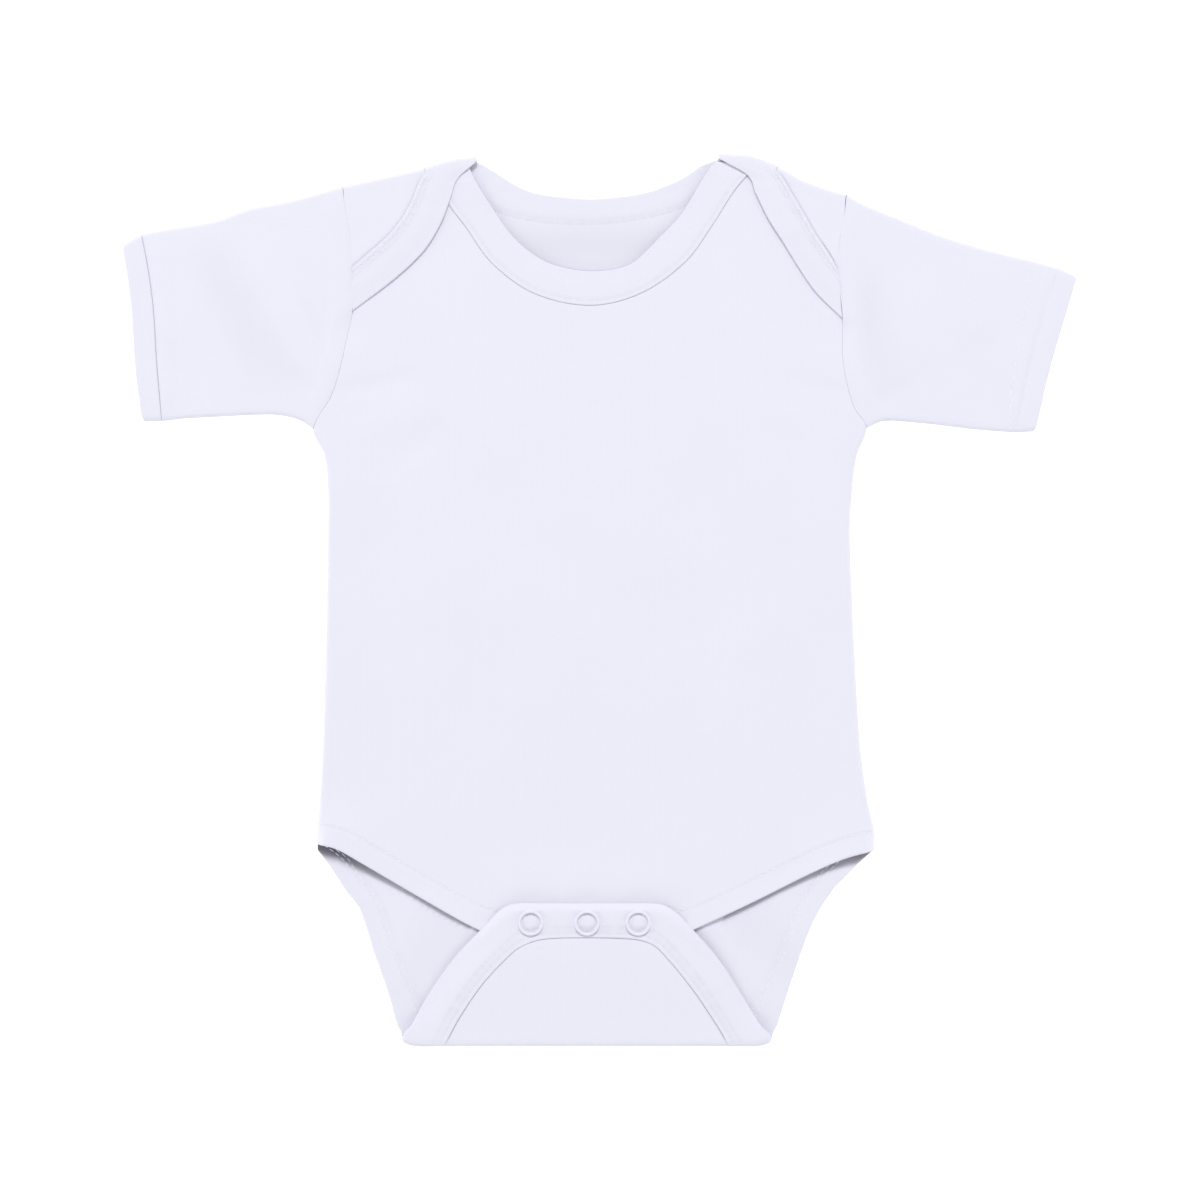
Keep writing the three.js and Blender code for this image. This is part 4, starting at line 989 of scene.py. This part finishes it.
def back_panel():
    """The back, and in one piece with it the crotch part that folds over and the two laps."""
    columns = back_columns()
    fold_start = {side: FOLD[side].axis(LAP_SEAM[side]) for side in SIDES}
    neck = Line([fold_start["left"]] + seams(NECK_BACK) + [fold_start["right"]])
    top = joined(lambda part: FOLD["left"].axis(part * LAP_SEAM["left"]), neck,
                 lambda part: FOLD["right"].axis((1 - part) * LAP_SEAM["right"]),
                 BACK_CORNER, 1 - BACK_CORNER)
    left, right = [Line(BODY_EDGE[side].rows[:-1] + [FOLD[side].axis(0)]).by_row for side in SIDES]
    hips = blend(left(0), right(0), 0), blend(left(0), right(0), 1)
    body = patch(lambda part: blend(*hips, part), top, left, right)
    seat_left, seat_right = [Line(seams(SEAT[side])[::-1]).by_row for side in SIDES]
    fold_low = (seat_left(0), seat_right(0))
    seat = patch(lambda part: blend(*fold_low, part), lambda part: blend(*hips, part),
                 seat_left, seat_right)
    seam = Line(seams(FLAP))
    first, last = FLAP_CORNERS
    end = len(FLAP) - 1
    fold_high = (seam(0), seam(1))
    flap = patch(seam.between(first, last), lambda part: blend(*fold_high, part),
                 seam.between(first, 0), seam.between(last, end))

    def flap_row(v):
        row = []
        for distance, part in columns:
            x, y = flap(part, v)
            z = flap_height(y) + slack(x, y, *FLAP_SLACK)
            from_seam = min(v * FLAP_LENGTH, distance / 2)
            thickness = JERSEY * rounded(from_seam)
            # Painted shade in the groove where the flap meets its binding
            painted_shade = FLAP_BAND.seam * crease_shade(from_seam)
            row.append((x, y, z, thickness, x, 2 * CROTCH_FOLD - y - FOLD_GIRTH, painted_shade))
        return row

    def fold_row(turn):
        row = []
        reach, rise = round_fold(turn)
        for _, part in columns:
            x, y = blend(blend(*fold_low, part), blend(*fold_high, part), turn)
            row.append((x, y - reach, LAYER_BACK + rise, JERSEY, x, CROTCH_FOLD - turn * FOLD_GIRTH))
        return row

    def seat_row(v):
        row = []
        for _, part in columns:
            x, y = seat(part, v)
            loose = math.sin(v * math.pi) * smooth(*SEAT_EDGE_PART, min(part, 1 - part))
            z = LAYER_BACK + loose * soft_folds(SEAT_FOLDS, x, y)
            row.append((x, y, z, JERSEY, x, y))
        return row

    def body_row(v):
        row = []
        for distance, part in columns:
            x, y = body(part, v)
            weight = side_weight(y) * smooth(*CURL_RANGE, y)
            inward, rise = back_curl(distance)
            shift = weight * (1 if part < 0.5 else -1) * (inward - distance)
            moved = shift if distance < BACK_CURLED else 0.0
            thickness = JERSEY * mix(1, rounded(distance), smooth(*EDGE_RANGE, y))
            row.append((x + moved, y, LAYER_BACK + weight * rise, thickness, x, y))
        return row

    cloth = Cloth()
    cloth.grid(
        [flap_row(v) for v in graded(FLAP_ROWS, FLAP_LENGTH) if v < FLAP_LAST]
        + [fold_row(turn) for turn in reversed(steps(TURN_STEPS))][:-1]
        + [seat_row(v) for v in steps(SEAT_ROWS)]
        + [body_row(v) for v in graded(BODY_ROWS, BODY_LENGTH)[len(NEAR_EDGE):]]
    )
    parts = [part / BACK_CORNER for _, part in columns[:len(BACK_NEAR)]]
    for side in SIDES:
        shoulder_turn(cloth, side, parts)
        lap_panel(cloth, side, parts)
    return cloth


# Sleeves

def sleeve_loop():
    """Once round a flattened sleeve: which outline it is measured from, how far in, and its layer."""
    quarter = [part * math.pi / 2 for part in steps(QUARTER_STEPS)]
    across = steps(SLEEVE_ACROSS)[1:-1]
    return (
        [("top", turn, 1) for turn in quarter] + [("between", part, 1) for part in across]
        + [("bottom", turn, 1) for turn in reversed(quarter)]
        + [("bottom", turn, -1) for turn in quarter[1:]]
        + [("between", part, -1) for part in reversed(across)]
        + [("top", turn, -1) for turn in reversed(quarter)]
    )


def turning(distance):
    """The low ridge over a seam's turnings, at a distance from the seam."""
    return TURNING_HEIGHT * smooth(*TURNING_START, distance) * (1 - smooth(*TURNING_END, distance))


class Sleeve:
    """A sleeve and its cuff, as a flattened tube between two parts of the sleeve's length."""

    def __init__(self, side):
        self.side = side
        self.sign = -1 if side == "left" else 1
        self.section = Line(SLEEVE[side])
        self.length = self.section.length
        self.cuff_at = self.section.at[-2]
        self.plan = patch(ARMHOLE_LINE[side], Line(CUFF_EDGE[side]),
                          lambda part: self.section(part)[:2], lambda part: self.section(part)[2:])

    def upper(self, y, along, thickness):
        """Height of the upper layer, before its folds."""
        above_tip = y - LAP_TIP[self.side]
        seam = armhole_level(self.side, y) + (LAYER_LAP - UNDER_TIP) * smooth(*LAP_STEP_RANGE, above_tip)
        cap = smooth(*SLEEVE_CAP_RANGE, above_tip) * (1 - smooth(*SLEEVE_CAP_PART, along))
        level = mix(seam, mix(ROLL_TOP, LAYER_LAP, cap), smooth(*SLEEVE_SEAM_PART, along))
        return level + (thickness - JERSEY) / 2

    def flat(self, across, layer, along, thickness):
        """A place between the two rolled edges, and the shade painted in its trough."""
        x, y = self.plan(across, max(along, 0))
        edge = smooth(*SLEEVE_EDGE_PART, min(across, 1 - across))
        fold = soft_folds(SLEEVE_FOLDS[self.side], x, y) * smooth(*SLEEVE_FOLD_PART, along) * edge
        # Painted shade in the fold's troughs, deeper where the trough is deeper
        painted_shade = TROUGH_SHADE * max(-fold, 0)
        if layer < 0:
            return x, y, thickness / 2, painted_shade
        bulge = math.sin(across * math.pi)
        pillow = SLEEVE_PILLOW * bulge * smooth(*SLEEVE_PILLOW_PART, along)
        loose = slack(x, y, *SLEEVE_SLACK[self.side]) * bulge
        ridge = turning(along * self.length) + turning(self.cuff_at - along * self.length)
        z = self.upper(y, along, thickness) + pillow + fold + loose + edge * ridge
        return x, y, z, painted_shade

    def rolls(self, along, thickness):
        """The width of the sleeve, and the radius of the rolls along its top and bottom edge."""
        top_x, top_y, bottom_x, bottom_y = self.section(along)
        width = math.hypot(top_x - bottom_x, top_y - bottom_y)
        top, bottom = ((self.upper(y, along, thickness) - thickness / 2) / 2 for y in (top_y, bottom_y))
        return width, {"top": top, "bottom": bottom}

    def rolled(self, where, turn, layer, along, thickness):
        """A place on the roll along the top or the bottom edge, which has no trough."""
        width, radii = self.rolls(along, thickness)
        low, radius = thickness / 2, radii[where]
        inward = (low + radius * (1 - math.cos(turn))) / width
        x, y = self.plan(inward if where == "top" else 1 - inward, max(along, 0))
        past = smooth(self.cuff_at, self.length, along * self.length)
        x -= self.sign * past * corner_lift(inward * width, CUFF_CORNER)
        return x, y, low + radius + layer * radius * math.sin(turn), 0.0

    def tube(self, rows):
        """Cloth all round the sleeve, from rows of length, thickness, the part of it left and painted
        shade.
        """
        loops = []
        for along, thickness, thin, painted_shade in rows:
            width, radii = self.rolls(along, thickness)
            start = (thickness / 2 + radii["top"]) / width
            end = 1 - (thickness / 2 + radii["bottom"]) / width
            loop = []
            travelled, before = 0.0, None
            for where, value, layer in sleeve_loop():
                if where == "between":
                    x, y, z, trough_shade = self.flat(mix(start, end, value), layer, along, thickness)
                else:
                    x, y, z, trough_shade = self.rolled(where, value, layer, along, thickness)
                here = Vector((x + self.sign * min(along, 0) * SLEEVE_LENGTH, y, z))
                travelled += (here - before).length if before else 0.0
                before = here
                loop.append((*here, thickness * thin, travelled, along * SLEEVE_LENGTH, painted_shade + trough_shade))
            loops.append(loop)
        cloth = Cloth()
        cloth.grid(loops)
        return cloth, loops

    def cuff_part(self):
        """The part of the sleeve's length at which its cuff is sewn on."""
        return self.cuff_at / self.length

    def body(self):
        """The sleeve itself, from a little over the armhole seam to the cuff's."""
        level = CUFF_LEVEL[self.side]
        rows = []
        for part in graded(SLEEVE_ROWS, SLEEVE_LENGTH):
            from_body, from_cuff = part * SLEEVE_LENGTH, (1 - part) * SLEEVE_LENGTH
            thin = min(rounded(from_body, ARMHOLE_ROUND), mix(rounded(from_cuff, ROUND), 1, level))
            # Painted shade in the grooves at the armhole seam and the cuff seam
            painted_shade = ARMHOLE_SEAM_SHADE * crease_shade(from_body) + CUFF_SEAM_SHADE[self.side] * crease_shade(from_cuff)
            rows.append((mix(-SEAM_TUCK / SLEEVE_LENGTH, self.cuff_part(), part), JERSEY, thin, painted_shade))
        return self.tube(rows)

    def cuff(self):
        """The ring of binding past the end of the sleeve."""
        level = CUFF_LEVEL[self.side]
        start = self.cuff_part() - SEAM_TUCK / SLEEVE_LENGTH
        width = (1 - start) * self.length
        rows = []
        for part in ACROSS:
            inside, outside = part * width, (1 - part) * width
            thickness = mix(BINDING, mix(JERSEY, BINDING, smooth(*INNER_HALF, part)), level)
            thin = min(mix(rounded(inside, ROUND), 1, level), rounded(outside, ROUND))
            # Painted shade in the groove at the seam and along the free edge
            painted_shade = CUFF_SEAM_SHADE[self.side] * crease_shade(inside) + CUFF_EDGE_SHADE * crease_shade(outside)
            rows.append((mix(start, 1, part), thickness, thin, painted_shade))
        return self.tube(rows)


# Finishes

SHEEN_ROUGHNESS = 0.5
SPECULAR = 0.3
# How far stitches slant, and how high their loops stand beside the valleys between their columns
STITCH_SLANT = 1.1
LOOP_HEIGHT = 0.35
KNIT_RELIEF = 0.12
PLAIN_RELIEF = 0.05
# Scale and detail of the fuzz on the yarn, and of the cloth's uneven tone
YARN_FUZZ = (1400, 3)
UNEVEN_TONE = (26, 4)
# The colour that the painted shade darkens the cloth towards
DEEP_SHADE = (0.035, 0.02, 0.05)


class Finish:
    """A new material, with its shader, nodes and links."""

    def __init__(self, name, colour, roughness, sheen=0.0):
        self.material = bpy.data.materials.new(name)
        self.material.use_nodes = True
        self.nodes, self.links = self.material.node_tree.nodes, self.material.node_tree.links
        self.shader = self.nodes["Principled BSDF"]
        self.shader.inputs["Base Color"].default_value = (*colour, 1)
        self.shader.inputs["Roughness"].default_value = roughness
        self.shader.inputs["Specular IOR Level"].default_value = SPECULAR
        self.shader.inputs["Sheen Weight"].default_value = sheen
        self.shader.inputs["Sheen Roughness"].default_value = SHEEN_ROUGHNESS

    def calculate(self, operation, first, second=None):
        node = self.nodes.new("ShaderNodeMath")
        node.operation = operation
        for socket, value in zip(node.inputs, (first, second)):
            if isinstance(value, (int, float)):
                socket.default_value = value
            elif value is not None:
                self.links.new(value, socket)
        return node.outputs[0]

    def uneven(self, place, scale, detail):
        node = self.nodes.new("ShaderNodeTexNoise")
        node.inputs["Scale"].default_value = scale
        node.inputs["Detail"].default_value = detail
        self.links.new(place, node.inputs["Vector"])
        return node.outputs[0]

    def between(self, factor, low, high):
        """A colour between a given low one and a high one that may come from another node."""
        node = self.nodes.new("ShaderNodeMix")
        node.data_type = "RGBA"
        node.inputs["A"].default_value = (*low, 1)
        if isinstance(high, tuple):
            node.inputs["B"].default_value = (*high, 1)
        else:
            self.links.new(high, node.inputs["B"])
        self.links.new(factor, node.inputs["Factor"])
        return node.outputs["Result"]

    def relief(self, height, strength, distance):
        node = self.nodes.new("ShaderNodeBump")
        node.inputs["Strength"].default_value = strength
        node.inputs["Distance"].default_value = distance * MM
        self.links.new(height, node.inputs["Height"])
        self.links.new(node.outputs[0], self.shader.inputs["Normal"])


def knit(name, colour, deep, roughness, sheen, wale, course, depth):
    """Knitted cloth: columns of slanted stitches on the flat cut, with uneven yarn and tone, and shade
    painted from the piece's tone attribute.
    """
    made = Finish(name, colour, roughness, sheen)
    cut = made.nodes.new("ShaderNodeUVMap")
    cut.uv_map = "cut"
    on_cut = cut.outputs["UV"]
    parts = made.nodes.new("ShaderNodeSeparateXYZ")
    made.links.new(on_cut, parts.inputs[0])
    columns = made.calculate("PINGPONG", parts.outputs["X"], wale * MM / 2)
    slanted = made.calculate("ADD", parts.outputs["Y"], made.calculate("MULTIPLY", columns, STITCH_SLANT))
    loops = made.calculate("SINE", made.calculate("MULTIPLY", slanted, 2 * math.pi / (course * MM)))
    valleys = made.calculate("MULTIPLY", columns, 2 / (wale * MM))
    height = made.calculate("ADD", valleys, made.calculate("MULTIPLY", loops, LOOP_HEIGHT))
    fuzzy = made.calculate("ADD", height, made.uneven(on_cut, *YARN_FUZZ))
    made.relief(fuzzy, depth, KNIT_RELIEF)
    # Painted shade: the tone attribute darkens the colour towards DEEP_SHADE
    tone = made.nodes.new("ShaderNodeAttribute")
    tone.attribute_name = "tone"
    shades = made.between(made.uneven(on_cut, *UNEVEN_TONE), deep, colour)
    shade_mixed = made.between(tone.outputs["Fac"], DEEP_SHADE, shades)
    made.links.new(shade_mixed, made.shader.inputs["Base Color"])
    return made.material


def plain(name, colour, roughness, scale, depth):
    """A hard or twisted finish with faint unevenness."""
    made = Finish(name, colour, roughness)
    place = made.nodes.new("ShaderNodeTexCoord")
    made.relief(made.uneven(place.outputs["Object"], scale, 2), depth, PLAIN_RELIEF)
    return made.material


JERSEY_FINISH = knit("white_cotton_jersey", (0.80, 0.80, 0.90), (0.775, 0.775, 0.88), roughness=0.9,
                     sheen=0.1, wale=0.9, course=0.7, depth=0.12)
RIB_FINISH = knit("white_cotton_rib", (0.80, 0.80, 0.90), (0.77, 0.77, 0.875), roughness=0.9,
                  sheen=0.1, wale=1.2, course=0.8, depth=0.2)
ENAMEL = plain("white_snap_enamel", (0.80, 0.80, 0.88), roughness=0.3, scale=500, depth=0.1)
THREAD = plain("white_thread", (0.84, 0.84, 0.93), roughness=0.6, scale=4000, depth=0.4)


# Sewing thread

STITCH_SEGMENTS = 8
STITCH_RINGS = 6
STITCH_LENGTH = 2.3
STITCH_PITCH = 2.9
STITCH_WIDTH = 0.42
STITCH_HEIGHT = 0.34
STITCH_LIFT = 0.03
STITCH_WANDER = 1.7

# The stitches wander by a drawn noise, which is fixed here so that it is the same each time
STITCH_SEED = 4
noise.seed_set(STITCH_SEED)


def one_stitch():
    """One stitch along X: a bead pulled long, with its ends pressed down into the cloth."""
    deselect()
    bpy.ops.mesh.primitive_uv_sphere_add(segments=STITCH_SEGMENTS, ring_count=STITCH_RINGS, radius=MM / 2,
                                         location=(0, 0, 0), rotation=(0, math.pi / 2, 0))
    bpy.ops.object.transform_apply(location=True, rotation=True, scale=True)
    bpy.ops.object.mode_set(mode="EDIT")
    bpy.ops.mesh.select_all(action="SELECT")
    bpy.ops.transform.resize(value=(STITCH_LENGTH, STITCH_WIDTH, STITCH_HEIGHT))
    bpy.ops.transform.translate(value=(STITCH_LENGTH / 2 * MM, 0, 0))
    bpy.ops.object.mode_set(mode="OBJECT")
    return bpy.context.active_object


def copied(original, name):
    """A copy with its own mesh, selected alone."""
    copy = original.copy()
    copy.data = original.data.copy()
    copy.name = name
    bpy.context.collection.objects.link(copy)
    deselect()
    copy.select_set(True)
    bpy.context.view_layer.objects.active = copy
    return copy


def guide_line(name, points):
    line = bpy.data.curves.new(name, "CURVE")
    line.dimensions = "3D"
    line.twist_mode = "Z_UP"
    spline = line.splines.new("POLY")
    spline.points.add(len(points) - 1)
    for knot, point in zip(spline.points, points):
        knot.co = (*(point * MM), 1)
    guide = bpy.data.objects.new(name, line)
    bpy.context.collection.objects.link(guide)
    return guide


def thread_row(stitch, name, points):
    """Stitches in a row along points on the cloth, each bent to lie along them."""
    guide = guide_line(name + "_line", points)
    row = copied(stitch, name)
    length = sum((b - a).length for a, b in zip(points, points[1:]))
    array = row.modifiers.new("row", "ARRAY")
    array.count = int(length / STITCH_PITCH)
    array.use_relative_offset = False
    array.use_constant_offset = True
    array.constant_offset_displace = (STITCH_PITCH * MM, 0, 0)
    bend = row.modifiers.new("bend", "CURVE")
    bend.object = guide
    bpy.ops.object.modifier_apply(modifier="row")
    bpy.ops.object.modifier_apply(modifier="bend")
    bpy.data.objects.remove(guide)
    return row


def thread(stitch, name, rows):
    """Rows of stitches joined into one piece."""
    made = [thread_row(stitch, f"{name}_{i}", points) for i, points in enumerate(rows)]
    deselect()
    for row in made:
        row.select_set(True)
    bpy.context.view_layer.objects.active = made[0]
    if len(made) > 1:
        bpy.ops.object.join()
    joined_rows = bpy.context.view_layer.objects.active
    joined_rows.name = name
    bpy.ops.object.shade_smooth()
    joined_rows.data.materials.append(THREAD)
    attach(joined_rows, "root")


def sewn_line(cloth, rows, column, rough):
    """Points on top of a binding at one of its columns, from end to end, a little uneven."""
    points = [cloth.above(row[column]) for row in rows]
    wander = [rough * noise.noise_vector(point / STITCH_WANDER) * Vector((1, 1, 0)) for point in points]
    return [point + away for point, away in zip(points, wander)]


# The garment's pieces

front_panel().piece("front_panel", JERSEY_FINISH, "jersey")
back_panel().piece("back_panel", JERSEY_FINISH, "jersey")

stitch = one_stitch()

# What makes each binding, the columns of its grid that are sewn along, and how far the stitches wander
BINDINGS = {
    "neck_binding_front": (neck_binding_front, (6,), 0.1),
    "neck_binding_back": (neck_binding_back, (4, 6), 0.6),
    "leg_binding_front": (leg_binding_front, (4,), 0.3),
    "leg_binding_back": (leg_binding_back, (5, 8), 0.2),
}
for binding, (make, stitched, rough) in BINDINGS.items():
    cloth, rungs = make()
    cloth.piece(binding, RIB_FINISH, "rib")
    lines = [sewn_line(cloth, rungs, column, rough) for column in stitched]
    thread(stitch, binding + "_thread", lines)

for side in SIDES:
    sleeve = Sleeve(side)
    cloth, loops = sleeve.body()
    cloth.piece(f"sleeve_{side}", JERSEY_FINISH, "jersey")
    sewn_at = (1 - TURNING_WIDTH / SLEEVE_LENGTH / sleeve.cuff_part()) * SLEEVE_ROWS
    sewn = loops[len(NEAR_EDGE) + round(sewn_at) - 1]
    thread(stitch, f"sleeve_{side}_thread", [[cloth.above(place) for place in sewn]])
    cloth, _ = sleeve.cuff()
    cloth.piece(f"cuff_{side}", RIB_FINISH, "rib")

bpy.data.objects.remove(stitch)


# Snaps

SNAP_LEVEL = FLAP_TOP + BINDING_RISE + BINDING / 2 + SNAP_GAP
SNAP_SMOOTH_ANGLE = math.radians(40)
LEVEL_FACE = 0.9


def snap_ring():
    """A pressed ring: a disc inset on both faces, its middle opened and its edges rounded."""
    deselect()
    bpy.ops.mesh.primitive_cylinder_add(vertices=SNAP_SEGMENTS, radius=SNAP_RADIUS * MM,
                                        depth=SNAP_HEIGHT * MM, location=(0, 0, 0))
    ring = bpy.context.active_object
    bpy.ops.object.mode_set(mode="EDIT")
    bpy.ops.mesh.select_mode(type="FACE")
    bpy.ops.mesh.select_all(action="DESELECT")
    bpy.ops.object.mode_set(mode="OBJECT")
    for face in ring.data.polygons:
        face.select = abs(face.normal.z) > LEVEL_FACE
    bpy.ops.object.mode_set(mode="EDIT")
    bpy.ops.mesh.inset(thickness=(SNAP_RADIUS - SNAP_HOLE) * MM, use_individual=True)
    bpy.ops.mesh.bridge_edge_loops()
    bpy.ops.mesh.select_all(action="SELECT")
    bpy.ops.mesh.normals_make_consistent(inside=False)
    bpy.ops.object.mode_set(mode="OBJECT")
    bevel = ring.modifiers.new("bevel", "BEVEL")
    bevel.width = SNAP_BEVEL * MM
    bevel.segments = SNAP_BEVEL_SEGMENTS
    bpy.ops.object.modifier_apply(modifier="bevel")
    bpy.ops.object.shade_smooth_by_angle(angle=SNAP_SMOOTH_ANGLE)
    ring.data.materials.append(ENAMEL)
    return ring


ring = snap_ring()
for number, snap_x in enumerate(SNAP_X, 1):
    snap = copied(ring, f"snap_ring_{number}")
    seat = Vector((snap_x, SNAP_Y, SNAP_LEVEL + SNAP_HEIGHT / 2)) * MM
    snap.data.transform(Matrix.Translation(seat))
    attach(snap, "root")
    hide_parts(f"snap_cap_{number}")
    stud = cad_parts[f"snap_stud_{number}"]
    stud.data.materials.clear()
    stud.data.materials.append(ENAMEL)
bpy.data.objects.remove(ring)


# Floor, light and camera

FLOOR_SIZE = 4.0
FLOOR_GLOW = 0.6
STUDIO_LIGHT = 0.45
VIEW_HEIGHT = 1.367
VIEW_LENS = 100
VIEW_SENSOR = 36
WHITE = (1, 1, 1, 1)


def pale_floor():
    deselect()
    bpy.ops.mesh.primitive_plane_add(size=FLOOR_SIZE, location=(0, 0, 0))
    made = bpy.context.active_object
    made.name = "floor"
    pale = Finish("pale_floor", (0.9, 0.9, 0.9), 0.9)
    pale.shader.inputs["Emission Color"].default_value = WHITE
    pale.shader.inputs["Emission Strength"].default_value = FLOOR_GLOW
    made.data.materials.append(pale.material)


def soft_light(name, place, size, power):
    light = bpy.data.lights.new(name, "AREA")
    light.shape = "RECTANGLE"
    light.size, light.size_y = size
    light.energy = power
    made = bpy.data.objects.new(name, light)
    made.location = place
    made.rotation_euler = (-Vector(place)).to_track_quat("-Z", "Y").to_euler()
    bpy.context.collection.objects.link(made)


pale_floor()
soft_light("key", place=(0.0, 2.4, 3.1), size=(1.2, 0.9), power=82)
soft_light("left_fill", place=(-1.7, 0.0, 0.45), size=(0.5, 1.6), power=10)
soft_light("right_fill", place=(1.7, 0.0, 0.45), size=(0.5, 1.6), power=8)
soft_light("low_fill", place=(0.0, -1.7, 0.6), size=(1.4, 0.6), power=7)

world = bpy.data.worlds.new("studio")
world.use_nodes = True
background = world.node_tree.nodes["Background"]
background.inputs["Color"].default_value = WHITE
background.inputs["Strength"].default_value = STUDIO_LIGHT
bpy.context.scene.world = world
bpy.context.scene.view_settings.view_transform = "Standard"

camera_lens = bpy.data.cameras.new("camera")
camera_lens.lens = VIEW_LENS
camera_lens.sensor_width = VIEW_SENSOR
camera = bpy.data.objects.new("camera", camera_lens)
camera.location = (0, 0, VIEW_HEIGHT)
bpy.context.collection.objects.link(camera)
bpy.context.scene.camera = camera
